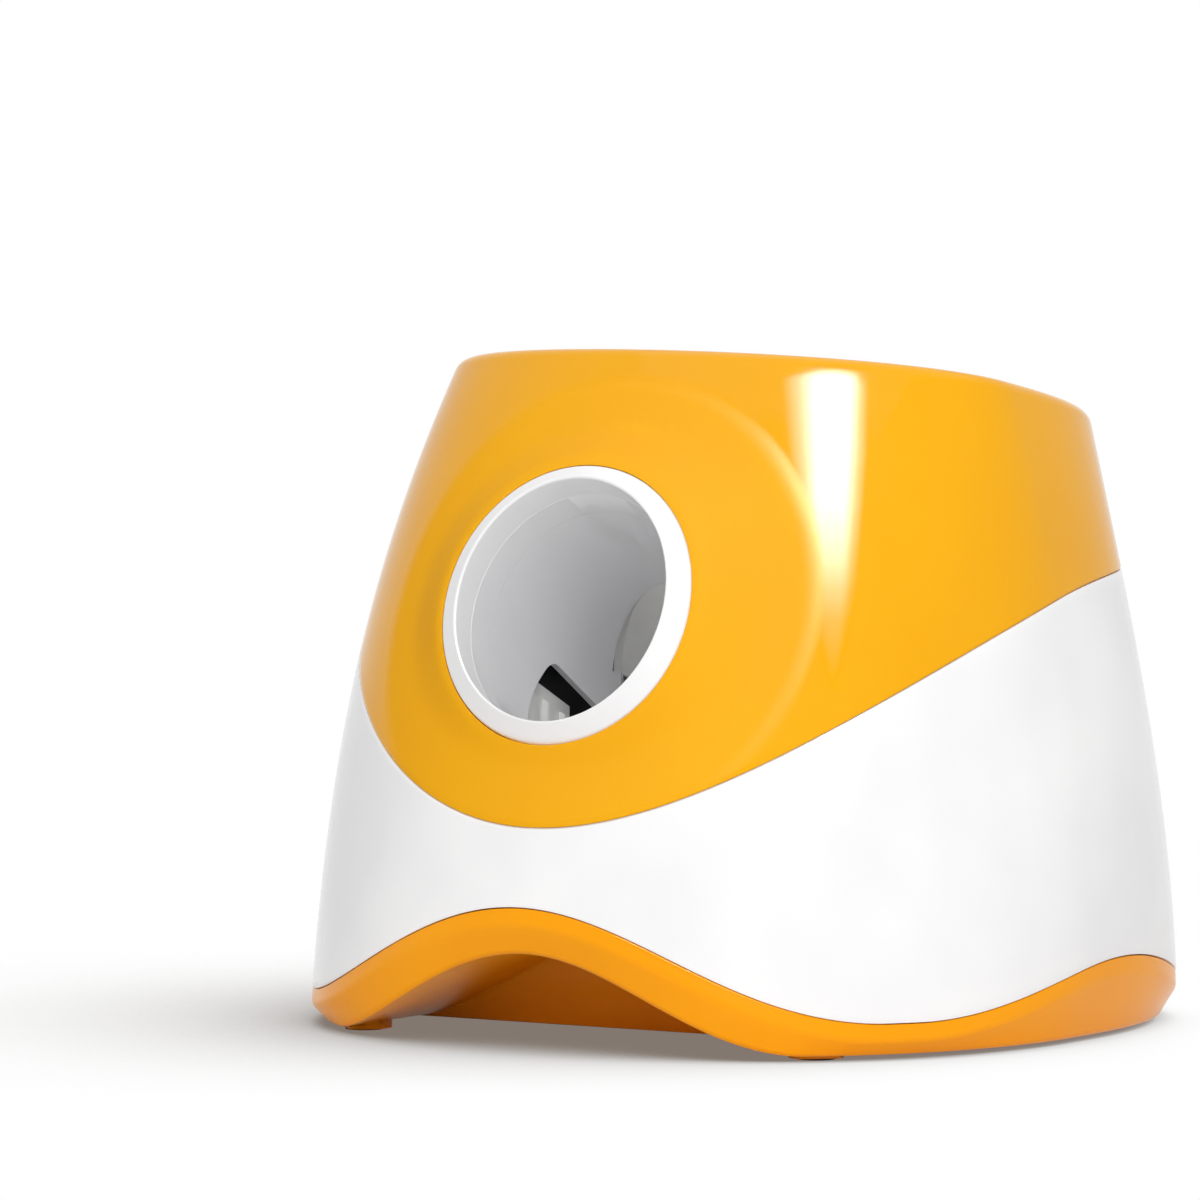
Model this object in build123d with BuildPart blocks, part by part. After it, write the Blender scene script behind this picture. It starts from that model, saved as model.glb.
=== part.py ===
from build123d import *

import os
from math import acos, cos, pi, radians, sin, tan

# Automatic ball launcher for dogs. Millimetres, +Z up, muzzle towards -Y.
# The origin is on the floor, under the middle of the body.

# ---- driving dimensions: the egg-shaped body ------------------------------
form_height = 205.0          # height at which the "top" half sizes below hold
half_width_foot = 130.0
half_width_top = 97.0
side_bulge = 10.0            # how far the sides swell between foot and top
front_foot = 128.0           # from the section centre to the front
front_top = 55.0
front_bulge = 14.0
front_ease = -3.5            # uneven part of the front's swelling
rear_foot = 134.5
rear_top = 102.0
rear_bulge = -7.5
rear_ease = 3.0
centre_foot = -6.75          # y of the section centre at the foot and top
centre_top = 0.75
front_roundness = 2.0        # superellipse exponents of the two half sections
rear_roundness = 2.6
section_points = 24
section_steps = 6
wall = 2.5
deck_height = 201.45         # top face, where it crosses x = y = 0
deck_slope = 0.189           # fall of the top face towards the rear
deck_thick = 3.0
rim_fillet = 5.5

# ---- seams ----------------------------------------------------------------
colour_seam = ((-163.0, 18.0), (-123.0, 63.0), (-63.0, 110.5), (-3.0, 135.0), (67.0, 141.5), (157.0, 137.0))
seam_gap = 0.3               # open line between neighbouring shells
base_seam_low = 11.0         # seam height over the four feet
front_arch_rise = 33.0       # seam rise over the front opening
front_arch_half = 104.0
side_arch_rise = 14.0
side_arch_ends = (-71.0, 105.0)
side_half = (side_arch_ends[1] - side_arch_ends[0]) / 2
side_mid = (side_arch_ends[1] + side_arch_ends[0]) / 2
rear_arch_rise = 14.0
rear_arch_half = 84.0
rear_arch_from = 60.0
floor_under = 1.5            # underside of the base plate
floor_thick = 3.0
floor_top = floor_under + floor_thick
skirt_taper = 5.0            # the skirt draws in by this much to its lower edge
skirt_band = 5.0             # flush band between the seam and the crease
skirt_past = 3.0             # the slanting band's surface runs on past the crease
skirt_sink = 0.1             # and starts just under the base plate
skirt_points = 48
reach = 160.0                # cuts go this far, right out of the body
vault_rise = 28.5            # open arch under the front
vault_half = 84.0
vault_back = -55.0
vault_shell = 3.0

# ---- feet -----------------------------------------------------------------
peg_radius = 8.5
peg_bottom = 0.5
pad_radius = 6.0
pad_depth = 2.0
front_peg = (82.0, -85.5)
rear_peg = (77.0, 59.4)

# ---- muzzle and barrel ------------------------------------------------------
bore_radius = 37.1
tube_wall = 2.5
muzzle_y = -97.4
muzzle_z = 134.4
ring_tilt = 18.5             # the ring looks up by this angle
barrel_tilt = 32.0           # the barrel climbs at this angle
ring_radius = 44.1
ring_lip = 4.3
ring_edge = 0.0
ring_depth = 16.0
ring_flange = 3.5
ring_flange_thick = 3.0
boss_land = 1.5              # the shell swells up to the ring: flat land round it,
boss_run = 24.0              # then a cone of this run and fall
boss_fall = 17.0
boss_sink = 0.3              # the land lies this far behind the ring's edge
tube_length = 148.0
window_outline = ((43.0, -24.0), (52.0, 8.0), (92.0, 8.0), (92.0, -24.0))   # along and above the axis
window_corner = 5.0
tube_boss_along = (40.0, 132.0)
sensor_along = 116.0
fit_gap = 0.2                # between pieces that only lie against each other

# ---- hopper -----------------------------------------------------------------
hopper_y = 17.1
hopper_radius = 54.0
hopper_flange = 5.0
hopper_depth = 28.0
hopper_wall = 2.5
neck_radius = 36.0
neck_length = 67.0
collar_wall = 1.9
collar_lap = 34.0

# ---- striker ----------------------------------------------------------------
striker_reach = 75.0         # pivot to barrel axis
striker_thick = 6.0
striker_half = 47.5
paddle_radius = 31.0
web_half = 18.0
hub_radius = 9.0
arm_width = 7.0
crossbar = (26.0, 44.0)      # lower and upper edge above the barrel axis
hook_offset = 35.0
lug_length = 5.0
stop_thick = 1.7
pad_thick = 1.6
shaft_radius = 4.0
bush_wall = 2.5
run_clear = 0.05             # running clearance on a radius
spring_x = 46.3
spring_radius = 3.4
spring_wire = 0.6
spring_length = 56.0

# ---- gears ------------------------------------------------------------------
pressure_angle = 25.0
backlash = 0.24              # share of a module taken off each tooth's width
sector_teeth = 48
sector_kept = 7              # teeth that are left on the sector and the winder
winder_kept = 8
winder_teeth = 36
winder_module = 1.4
drive_teeth = 42
drive_pinion = 14
drive_module = 1.25
second_teeth = 40
second_pinion = 14
second_module = 0.9
first_teeth = 42
first_pinion = 14
first_module = 0.7
winder_direction = 200.0     # from striker pivot to drive gear, about +X
second_direction = 240.0     # from drive gear to second gear
first_direction = 195.0      # from second gear to first gear
motor_direction = 300.0      # from first gear to motor pinion
axle_radius = 2.5
layer_gap = 1.0
winder_width = 5.0
drive_width = 4.0
second_width = 4.0
first_width = 3.0
motor_radius = 13.85
motor_length = 32.0
motor_cap = 5.0
motor_shaft = 1.15

# ---- chassis ----------------------------------------------------------------
chassis_x = 52.0             # inner face of each side plate
plate = 3.0
post_radius = 4.0
screw_radius = 1.5
rib_thick = 2.0
barrel_ribs = ((-50.0, 108.0), (-42.0, 103.5), (-34.0, 99.0))   # y and top of each
rib_foot = 84.0
rib_reach = 9.0
pillars = ((-23.0, 84.0), (35.0, 58.0), (-41.0, 42.0), (11.0, 34.0), (17.0, 134.0))
cover_outline = ((-51.0, 30.0), (-51.0, 56.0), (-33.0, 96.0), (5.0, 144.0), (31.0, 144.0), (51.0, 104.0),
                 (47.0, 46.0), (21.0, 22.0), (-37.0, 22.0))
chassis_outline = ((-49.0, floor_top), (-49.0, 58.0), (-77.0, 96.0), (-77.0, 122.0), (-59.0, 138.0),
                   (21.0, 144.0), (83.0, 132.0), (87.0, 104.0), (57.0, 60.0), (57.0, floor_top))
foot_y = (-47.0, 55.0)
foot_width = 10.0

# ---- batteries --------------------------------------------------------------
cell_radius = 13.1
cell_length = 50.0
cell_clear = 0.1
box_wall = 1.5
box_y = -43.0
contact_space = 2.6
button_space = 1.2
door_clear = 0.4
door_thick = 2.5
door_pin = 1.5
door_pin_length = 1.4

# ---- controls ---------------------------------------------------------------
panel_y = 86.6
panel_length = 92.0
panel_width = 16.0
panel_thick = 2.0
button_radius = 5.4
button_spacing = 27.0
button_rise = 1.6
button_travel = 0.5
button_flange = 1.3
light_radius = 1.6
light_spacing = 7.5
board_drop = 12.0
board_thick = 1.6
board_length = 88.0
board_width = 20.0
switch_height = 5.0
led_height = 2.0
jack_z = 45.0
jack_radius = 5.5
jack_bore = 3.0
jack_depth = 10.0
jack_pin = 1.0

# ---- fasteners ----------------------------------------------------------------
body_posts = ((88.0, -51.0, 112.0), (78.0, 77.0, 136.0))   # x, y, height of the joint
body_post_radius = 5.0
post_bottom = 14.0
post_grip = 17.0
lower_web_lift = 4.0         # the webs start clear of the seams
upper_web_lift = 12.0
head_radius = 3.0
head_height = 2.2

os.makedirs("parts", exist_ok=True)


def save(piece, label):
    """Label one finished piece and write it as its own file."""
    piece.part.label = label
    export_step(piece.part, f"parts/{label}.step")


# ---- body form ----------------------------------------------------------------
def swell(foot, top, bulge, ease, t):
    """Half size of a section, t being its share of the form height."""
    return foot + (top - foot) * t + 4 * bulge * t * (1 - t) + 10 * ease * t * (1 - t) * (1 - 2 * t)


def rim_point(height, inset, angle):
    """Point of the body's outline at a height, drawn in by inset; angle 0 is the front."""
    t = height / form_height
    half = swell(half_width_foot, half_width_top, side_bulge, 0, t) - inset
    front = swell(front_foot, front_top, front_bulge, front_ease, t) - inset
    rear = swell(rear_foot, rear_top, rear_bulge, rear_ease, t) - inset
    across = sin(angle)
    along = -cos(angle)
    power = 2 / (front_roundness if along < 0 else rear_roundness)
    depth = front if along < 0 else rear
    x = half * abs(across) ** power * (1 if across > 0 else -1)
    y = swell(centre_foot, centre_top, 0, 0, t) + depth * abs(along) ** power * (1 if along > 0 else -1)
    return (x, y)


def outline(height, inset):
    """Points round the body at a height, drawn in by inset."""
    return [rim_point(height, inset, 2 * pi * step / section_points) for step in range(section_points)]


def body_form(inset, low, high):
    """Solid egg form between two heights, drawn in by inset all round."""
    with BuildPart() as form:
        for step in range(section_steps):
            height = low + (high - low) * step / (section_steps - 1)
            with BuildSketch(Plane.XY.offset(height)):
                with BuildLine():
                    Spline(*outline(height, inset), periodic=True)
                make_face()
        loft()
    return form.part


def deck_plane(y, drop=0.0):
    """Plane of the sloping top face at y, sunk by drop along its normal."""
    at = Plane(origin=(0, y, deck_height - deck_slope * y), x_dir=(1, 0, 0), z_dir=(0, deck_slope, 1))
    return at.offset(-drop)


def lift(share):
    """Height of an arch of unit rise at a share of its half width."""
    return (0.5 + 0.5 * cos(pi * share)) ** 0.85 if abs(share) < 1 else 0.0


def arch(half, rise, low):
    """Smooth arch as (across, height) points from one springing to the other."""
    steps = [step / 8 for step in range(-8, 9)]
    return [(half * s, low + rise * lift(s)) for s in steps]


def seam_height(x, y):
    """Height of the base's seam over a point of the outline."""
    heights = [base_seam_low + side_arch_rise * lift((y - side_mid) / side_half)]
    if y < vault_back / 2:
        heights.append(base_seam_low + front_arch_rise * lift(x / front_arch_half))
    if y > rear_arch_from:
        heights.append(base_seam_low + rear_arch_rise * lift(x / rear_arch_half))
    return max(heights)


def edge_height(x, y):
    """Height of the skirt's lower edge, which follows the vault in front."""
    return floor_under - skirt_sink + (vault_rise * lift(x / vault_half) if y < 0 else 0)


def skirt_wire(inset, height):
    """Closed curve round the skirt, as high at each point as height(x, y) says."""
    points = []
    for step in range(skirt_points):
        z = base_seam_low
        for settle in range(6):
            x, y = rim_point(z, inset, 2 * pi * step / skirt_points)
            z = height(x, y)
        points.append((x, y, z))
    return Wire([Edge.make_spline([Vector(*point) for point in points], periodic=True)])


def skirt_form(inset):
    """Solid whose side is the slanting band: it leans in from the crease to the lower edge."""
    def past_crease(x, y):
        crease = seam_height(x, y) - skirt_band
        return crease + skirt_past / skirt_taper * (crease - edge_height(x, y))

    wires = [
        skirt_wire(inset + skirt_taper + skirt_past, lambda x, y: -reach / 4),
        skirt_wire(inset + skirt_taper, edge_height),
        skirt_wire(inset - skirt_past, past_crease),
        skirt_wire(inset - skirt_past - 1, lambda x, y: reach),
    ]
    return Solid.make_loft(wires, ruled=True)


def gear_outline(teeth, module, phase, kept=None):
    """Outline of a spur gear about its centre; kept limits it to some teeth.

    The teeth are counted from the one centred on phase (degrees). Where a
    tooth isn't kept the outline follows the root circle.
    """
    base = module * teeth / 2 * cos(radians(pressure_angle))
    tip = module * (teeth / 2 + 0.9)
    root = module * (teeth / 2 - 1.2)

    def half_angle(radius):
        lean = acos(min(1.0, base / max(radius, base)))
        start = tan(radians(pressure_angle)) - radians(pressure_angle)
        return (pi / 2 - backlash) / teeth + start - (tan(lean) - lean)

    points = []
    for tooth in range(teeth):
        middle = radians(phase) + 2 * pi * tooth / teeth
        if kept is not None and tooth not in kept:
            points.append((root * cos(middle), root * sin(middle)))
            continue
        start = max(base, root)
        flank = [start + (tip - start) * step / 3 for step in range(4)]
        if base > root:
            flank.insert(0, root)
        for radius in flank:
            angle = middle - half_angle(radius)
            points.append((radius * cos(angle), radius * sin(angle)))
        for radius in reversed(flank):
            angle = middle + half_angle(radius)
            points.append((radius * cos(angle), radius * sin(angle)))
    return points


def axial_plane(plane):
    """Plane through a plane's axis: X as before, Y along its normal."""
    return Plane(origin=plane.origin, x_dir=plane.x_dir, z_dir=plane.x_dir.cross(plane.z_dir))


def step_from(start, distance, direction):
    """Point at a distance and direction (degrees about +X from +Y) in YZ."""
    return (start[0] + distance * cos(radians(direction)), start[1] + distance * sin(radians(direction)))


def side_plane(x, centre):
    """YZ plane at x whose origin is at centre = (y, z)."""
    return Plane(origin=(x, centre[0], centre[1]), x_dir=(0, 1, 0), z_dir=(1, 0, 0))


# ---- places worked out from the dimensions -----------------------------------
barrel_down = (cos(radians(barrel_tilt)), -sin(radians(barrel_tilt)))
barrel_up = (sin(radians(barrel_tilt)), cos(radians(barrel_tilt)))


def down_barrel(along, above=0.0):
    """(y, z) of a point along the barrel axis from the muzzle and above it."""
    y = muzzle_y + along * barrel_down[0] + above * barrel_up[0]
    z = muzzle_z + along * barrel_down[1] + above * barrel_up[1]
    return (y, z)


def barrel_plane(along):
    """Plane across the barrel, X to the right, Y up, looking down the bore."""
    y, z = down_barrel(along)
    return Plane(origin=(0, y, z), x_dir=(-1, 0, 0), z_dir=(0, barrel_down[0], barrel_down[1]))


ring_plane = Plane(
    origin=(0, muzzle_y, muzzle_z),
    x_dir=(1, 0, 0),
    z_dir=(0, -cos(radians(ring_tilt)), sin(radians(ring_tilt))),
)
tube_radius = bore_radius + tube_wall
strike_face = tube_length + stop_thick + fit_gap + 0.1
pivot = down_barrel(strike_face + striker_thick / 2, striker_reach)
drive_centre = step_from(pivot, winder_module * (sector_teeth + winder_teeth) / 2, winder_direction)
second_centre = step_from(drive_centre, drive_module * (drive_teeth + drive_pinion) / 2, second_direction)
first_centre = step_from(second_centre, second_module * (second_teeth + second_pinion) / 2, first_direction)
motor_centre = step_from(first_centre, first_module * (first_teeth + first_pinion) / 2, motor_direction)

chassis_out = chassis_x + plate
winder_x = -(chassis_out + layer_gap)
drive_x = winder_x - winder_width - layer_gap
second_x = drive_x - drive_width - layer_gap
first_x = second_x - second_width - layer_gap
cover_x = first_x - first_width - layer_gap - 0.5
gear_bore = axle_radius + run_clear
neck_outer = neck_radius + hopper_wall
neck_end = hopper_depth + neck_length
bottom_cells_z = floor_under + door_thick + 0.6 + cell_radius
cell_pitch = 2 * (cell_radius + cell_clear)
box_x = chassis_out + 0.4
cell_x = box_x + box_wall + contact_space
box_x_end = cell_x + cell_length + button_space + box_wall
box_y_end = box_y + 2 * box_wall + 3 * cell_pitch + 2.0
box_top = bottom_cells_z + cell_pitch + cell_radius + 0.8 + box_wall
cell_mid_y = (box_y + box_y_end) / 2
door_pin_y = box_y_end + 2.6
door_pin_z = floor_under + 2.1
peg_places = [(side * x, y) for x, y in (front_peg, rear_peg) for side in (-1, 1)]
post_places = [(side * x, y, split) for x, y, split in body_posts for side in (-1, 1)]
screw_places = [(x, y) for x, y, split in post_places]
bush_radius = shaft_radius + run_clear + bush_wall
anchor_radius = spring_radius - spring_wire - 0.4
spring_anchor = down_barrel(strike_face - lug_length - spring_length - anchor_radius - fit_gap, hook_offset)
foot_screws = [(side * (chassis_x - foot_width / 2), y) for side in (-1, 1) for y in (-37.0, 47.0)]
cell_places = [(cell_mid_y + column * cell_pitch, bottom_cells_z + row * cell_pitch)
               for column in (-1, 0, 1) for row in (0, 1)]
doorway = (box_x + box_wall, box_x_end - box_wall, box_y - 0.5, door_pin_y + 2.4)
door_mid_x = (doorway[0] + doorway[1]) / 2
door_half = (doorway[1] - doorway[0]) / 2 - door_clear
door_pin_reach = door_half + door_clear + door_pin_length
door_y = (doorway[2] + door_clear, door_pin_y - 2.0)
door_screw_place = (door_mid_x, door_y[0] + 5.0)
button_places = [(-button_spacing, 0), (button_spacing, 0)]
light_places = [(-light_spacing, 0), (0, 0), (light_spacing, 0)]
stem_end = board_drop - switch_height - button_travel - 0.1
jack_y = swell(centre_foot, centre_top, 0, 0, jack_z / form_height) + swell(
    rear_foot, rear_top, rear_bulge, rear_ease, jack_z / form_height)
jack_plane = Plane(origin=(0, jack_y, jack_z), x_dir=(-1, 0, 0), z_dir=(0, 1, 0))

# ---- cutting tools, none of them a piece ---------------------------------------
with BuildPart() as under_seam_tool:
    with BuildSketch(Plane.YZ):
        with BuildLine():
            Spline(*colour_seam)
            Polyline(colour_seam[-1], (160, -20), (-160, -20), colour_seam[0])
        make_face()
    extrude(amount=160, both=True)
under_seam = under_seam_tool.part

with BuildPart() as above_deck_tool:
    with BuildSketch(deck_plane(0)):
        Rectangle(320, 360)
    extrude(amount=60)
above_deck = above_deck_tool.part

with BuildPart() as above_ceiling_tool:
    with BuildSketch(deck_plane(0, deck_thick)):
        Rectangle(320, 360)
    extrude(amount=70)
above_ceiling = above_ceiling_tool.part

with BuildPart() as base_zone_tool:
    with Locations((0, 0, (base_seam_low + floor_under) / 2)):
        Box(300, 300, base_seam_low - floor_under)
    with BuildSketch(Plane.XZ.offset(-vault_back / 2)):
        with BuildLine():
            Spline(*arch(front_arch_half, front_arch_rise, base_seam_low))
            Polyline((front_arch_half, base_seam_low), (front_arch_half, 5), (-front_arch_half, 5),
                     (-front_arch_half, base_seam_low))
        make_face()
    extrude(amount=reach)
    with BuildSketch(side_plane(0, (side_mid, 0))):
        with BuildLine():
            Spline(*arch(side_half, side_arch_rise, base_seam_low))
            Polyline((side_half, base_seam_low), (side_half, 5), (-side_half, 5),
                     (-side_half, base_seam_low))
        make_face()
    extrude(amount=160, both=True)
    with BuildSketch(Plane.XZ.offset(-rear_arch_from)):
        with BuildLine():
            Spline(*arch(rear_arch_half, rear_arch_rise, base_seam_low))
            Polyline((rear_arch_half, base_seam_low), (rear_arch_half, 5), (-rear_arch_half, 5),
                     (-rear_arch_half, base_seam_low))
        make_face()
    extrude(amount=-100)
base_zone = base_zone_tool.part


def vault_form(growth):
    """Arch-shaped block under the front, grown by the thickness of its shell."""
    with BuildPart() as form:
        with BuildSketch(Plane.XZ.offset(-vault_back - growth)):
            with BuildLine():
                Spline(*arch(vault_half + growth, vault_rise + growth, floor_under))
                Polyline((vault_half + growth, floor_under), (vault_half + growth, -5),
                         (-vault_half - growth, -5), (-vault_half - growth, floor_under))
            make_face()
        extrude(amount=160)
    return form.part


full_form = body_form(0, -4, 226)
hollow_form = body_form(wall, -5, 227)
web_form = body_form(0.6 * wall, -5, 227)

skirt_outside = skirt_form(0)
skirt_inside = skirt_form(wall)


def body_posts_form(low, upper):
    """Screw posts with webs to the wall: from low to the seam, or above it."""
    with BuildPart() as posts:
        for x, y, split in post_places:
            side = 1 if x > 0 else -1
            bottom, top = (split, split + post_grip) if upper else (low, split)
            web_bottom = bottom + (upper_web_lift if upper else lower_web_lift)
            with BuildSketch(Plane.XY.offset(bottom)):
                with Locations((x, y)):
                    Circle(body_post_radius)
            extrude(amount=top - bottom)
            with BuildSketch(Plane.XY.offset(web_bottom)):
                with Locations((x + side * 30, y)):
                    Rectangle(60, rib_thick)
            extrude(amount=top - web_bottom)
        add(web_form, mode=Mode.INTERSECT)
        with BuildSketch(Plane.XY.offset(low - 1)):
            with Locations(*screw_places):
                Circle(screw_radius + run_clear)
        extrude(amount=300, mode=Mode.SUBTRACT)
    return posts.part


# ---- housing --------------------------------------------------------------------
with BuildPart() as upper_shell:
    add(full_form)
    add(above_deck, mode=Mode.SUBTRACT)
    rim = upper_shell.faces().sort_by(Axis.Z)[-1].edges()
    fillet(rim, radius=rim_fillet)
    # swelling that carries the ring
    with BuildSketch(axial_plane(ring_plane)):
        with BuildLine():
            land = ring_radius + boss_land
            Polyline(
                (0, -boss_sink - boss_fall),
                (land + boss_run, -boss_sink - boss_fall),
                (land, -boss_sink),
                (0, -boss_sink),
                close=True,
            )
        make_face()
    revolve(axis=Axis(ring_plane.origin, ring_plane.z_dir))
    with BuildPart(mode=Mode.PRIVATE) as upper_hollow:
        add(hollow_form)
        add(above_ceiling, mode=Mode.SUBTRACT)
    add(upper_hollow.part, mode=Mode.SUBTRACT)
    add(under_seam, mode=Mode.SUBTRACT)
    # bowl opening, with a seat for its flange
    with BuildSketch(deck_plane(hopper_y)):
        Circle(hopper_radius + fit_gap)
    extrude(amount=-4 * deck_thick, mode=Mode.SUBTRACT)
    with BuildSketch(deck_plane(hopper_y)):
        Circle(hopper_radius + hopper_flange + fit_gap)
    extrude(amount=-hopper_wall / 2, mode=Mode.SUBTRACT)
    # seat for the control panel, with a window through the deck
    with BuildSketch(deck_plane(panel_y)):
        SlotOverall(panel_length + 2 * fit_gap, panel_width + 2 * fit_gap)
    extrude(amount=-panel_thick, mode=Mode.SUBTRACT)
    with BuildSketch(deck_plane(panel_y)):
        SlotOverall(panel_length - 6, panel_width - 2.6)
    extrude(amount=-2 * deck_thick, mode=Mode.SUBTRACT)
    # muzzle hole
    with BuildSketch(ring_plane):
        Circle(ring_radius + fit_gap)
    extrude(amount=20, both=True, mode=Mode.SUBTRACT)
    # studs that carry the control board
    with BuildSketch(deck_plane(panel_y, deck_thick)):
        with GridLocations(board_length - 7, 1, 2, 1):
            Circle(post_radius - 1)
    extrude(amount=-(board_drop - deck_thick))
    with BuildSketch(deck_plane(panel_y, board_drop)):
        with GridLocations(board_length - 7, 1, 2, 1):
            Circle(screw_radius - 0.3)
    extrude(amount=6, mode=Mode.SUBTRACT)
    add(body_posts_form(0, 1))
save(upper_shell, "upper_shell")

with BuildPart() as lower_shell:
    add(full_form)
    add(Pos(0, 0, -seam_gap) * under_seam, mode=Mode.INTERSECT)
    add(hollow_form, mode=Mode.SUBTRACT)
    add(Pos(0, 0, seam_gap) * base_zone, mode=Mode.SUBTRACT)
    with Locations((0, 0, base_seam_low + seam_gap - 20)):
        Box(320, 320, 40, mode=Mode.SUBTRACT)
    add(body_posts_form(post_bottom, 0), mode=Mode.ADD)
    with BuildSketch(jack_plane):
        Circle(jack_radius + fit_gap)
    extrude(amount=20, both=True, mode=Mode.SUBTRACT)
save(lower_shell, "lower_shell")

with BuildPart() as base_pan:
    add(full_form)
    add(base_zone, mode=Mode.INTERSECT)
    add(skirt_outside, mode=Mode.INTERSECT)
    with BuildPart(mode=Mode.PRIVATE) as base_hollow:
        add(hollow_form)
        add(skirt_inside, mode=Mode.INTERSECT)
        with Locations((0, 0, floor_top - 20)):
            Box(320, 320, 40, mode=Mode.SUBTRACT)
        add(vault_form(vault_shell), mode=Mode.SUBTRACT)
    add(base_hollow.part, mode=Mode.SUBTRACT)
    add(vault_form(0), mode=Mode.SUBTRACT)
    # pegs that carry the rubber feet
    with BuildSketch(Plane.XY.offset(peg_bottom)):
        with Locations(*peg_places):
            Circle(peg_radius)
    extrude(amount=floor_top - peg_bottom)
    with BuildSketch(Plane.XY):
        with Locations(*peg_places):
            Circle(pad_radius + run_clear)
    extrude(amount=pad_depth, mode=Mode.SUBTRACT)
    # bosses for the long body screws
    with BuildSketch(Plane.XY.offset(floor_under)):
        with Locations(*screw_places):
            Circle(body_post_radius)
    extrude(amount=post_bottom - floor_under)
    with BuildSketch(Plane.XY):
        with Locations(*screw_places):
            Circle(screw_radius + fit_gap)
    extrude(amount=post_bottom + 1, mode=Mode.SUBTRACT)
    with BuildSketch(Plane.XY):
        with Locations(*screw_places):
            Circle(head_radius + fit_gap)
    extrude(amount=floor_under + head_height + fit_gap, mode=Mode.SUBTRACT)
    # doorway of the battery box, with a notch for the hinge pins
    with BuildSketch(Plane.XY.offset(-1)):
        with Locations(((doorway[0] + doorway[1]) / 2, (doorway[2] + doorway[3]) / 2)):
            Rectangle(doorway[1] - doorway[0], doorway[3] - doorway[2])
    extrude(amount=floor_top + 2, mode=Mode.SUBTRACT)
    with BuildSketch(side_plane(door_mid_x, (door_pin_y, door_pin_z))):
        Circle(door_pin + run_clear)
    extrude(amount=door_pin_reach + 0.5, both=True, mode=Mode.SUBTRACT)
    # screw holes under the chassis feet
    with BuildSketch(Plane.XY):
        with Locations(*foot_screws):
            Circle(screw_radius + fit_gap)
    extrude(amount=floor_top + 1, mode=Mode.SUBTRACT)
save(base_pan, "base_pan")

with BuildPart() as foot_pads:
    with BuildSketch(Plane.XY):
        with Locations(*peg_places):
            Circle(pad_radius)
    extrude(amount=pad_depth)
save(foot_pads, "foot_pads")

# ---- barrel and hopper -----------------------------------------------------------
with BuildPart() as launch_ring:
    with BuildSketch(axial_plane(ring_plane)):
        with BuildLine():
            Polyline(
                (30, -ring_depth),
                (ring_radius + ring_flange, -ring_depth),
                (ring_radius + ring_flange, ring_flange_thick - ring_depth),
                (ring_radius, ring_flange_thick - ring_depth),
                (ring_radius, ring_edge),
                (bore_radius + 1.4, ring_lip),
                (30, ring_lip),
                close=True,
            )
        make_face()
    revolve(axis=Axis(ring_plane.origin, ring_plane.z_dir))
    with BuildSketch(barrel_plane(0)):
        Circle(bore_radius)
    extrude(amount=60, both=True, mode=Mode.SUBTRACT)
save(launch_ring, "launch_ring")

with BuildPart() as launch_tube:
    with BuildSketch(barrel_plane(0)):
        Circle(tube_radius)
    extrude(amount=tube_length)
    # collar round the hopper's neck
    with BuildSketch(deck_plane(hopper_y, neck_end - collar_lap)):
        Circle(neck_outer + fit_gap + collar_wall)
    extrude(amount=-collar_lap)
    # bosses towards the chassis plates
    for along in tube_boss_along:
        with BuildSketch(side_plane(0, down_barrel(along))):
            Circle(post_radius)
        extrude(amount=chassis_x, both=True)
    with BuildSketch(deck_plane(hopper_y)):
        Circle(neck_outer + fit_gap)
    extrude(amount=-neck_end, mode=Mode.SUBTRACT)
    with BuildSketch(deck_plane(hopper_y)):
        Circle(neck_radius)
    extrude(amount=-(neck_end + bore_radius / 2), mode=Mode.SUBTRACT)
    with BuildSketch(barrel_plane(-5)):
        Circle(bore_radius)
    extrude(amount=tube_length + 10, mode=Mode.SUBTRACT)
    with BuildSketch(ring_plane.offset(-(ring_depth + fit_gap))):
        Rectangle(130, 130)
    extrude(amount=60, mode=Mode.SUBTRACT)
    # window low in the left side, and the sights of the ball sensor
    with BuildSketch(side_plane(0, (0, 0))):
        with BuildLine():
            corners = [down_barrel(along, above) for along, above in window_outline]
            FilletPolyline(*corners, radius=window_corner, close=True)
        make_face()
    extrude(amount=-chassis_x, mode=Mode.SUBTRACT)
    with BuildSketch(side_plane(0, down_barrel(sensor_along))):
        Circle(screw_radius)
    extrude(amount=60, both=True, mode=Mode.SUBTRACT)
    for along in tube_boss_along:
        for side in (-1, 1):
            with BuildSketch(side_plane(side * chassis_x, down_barrel(along))):
                Circle(screw_radius + run_clear)
            extrude(amount=-side * 9, mode=Mode.SUBTRACT)
save(launch_tube, "launch_tube")

with BuildPart() as stop_ring:
    with BuildSketch(barrel_plane(tube_length)):
        Circle(tube_radius + 1.2)
        Circle(bore_radius + fit_gap, mode=Mode.SUBTRACT)
    extrude(amount=stop_thick)
save(stop_ring, "stop_ring")

with BuildPart() as hopper:
    with BuildSketch(axial_plane(deck_plane(hopper_y))):
        with BuildLine():
            Polyline(
                (hopper_radius + hopper_flange, 0),
                (hopper_radius + hopper_flange, -hopper_wall / 2),
                (hopper_radius, -hopper_wall / 2),
                (hopper_radius, -hopper_wall),
                (neck_outer, -hopper_depth - hopper_wall),
                (neck_outer, -neck_end),
                (neck_radius, -neck_end),
                (neck_radius, -hopper_depth),
                (hopper_radius - hopper_wall, -hopper_wall),
                (hopper_radius - hopper_wall / 2, 0),
                close=True,
            )
        make_face()
    revolve(axis=Axis(deck_plane(hopper_y).origin, deck_plane(hopper_y).z_dir))
    with BuildSketch(barrel_plane(0)):
        Circle(tube_radius + run_clear)
    extrude(amount=tube_length + 40, mode=Mode.SUBTRACT)
save(hopper, "hopper")

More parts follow.
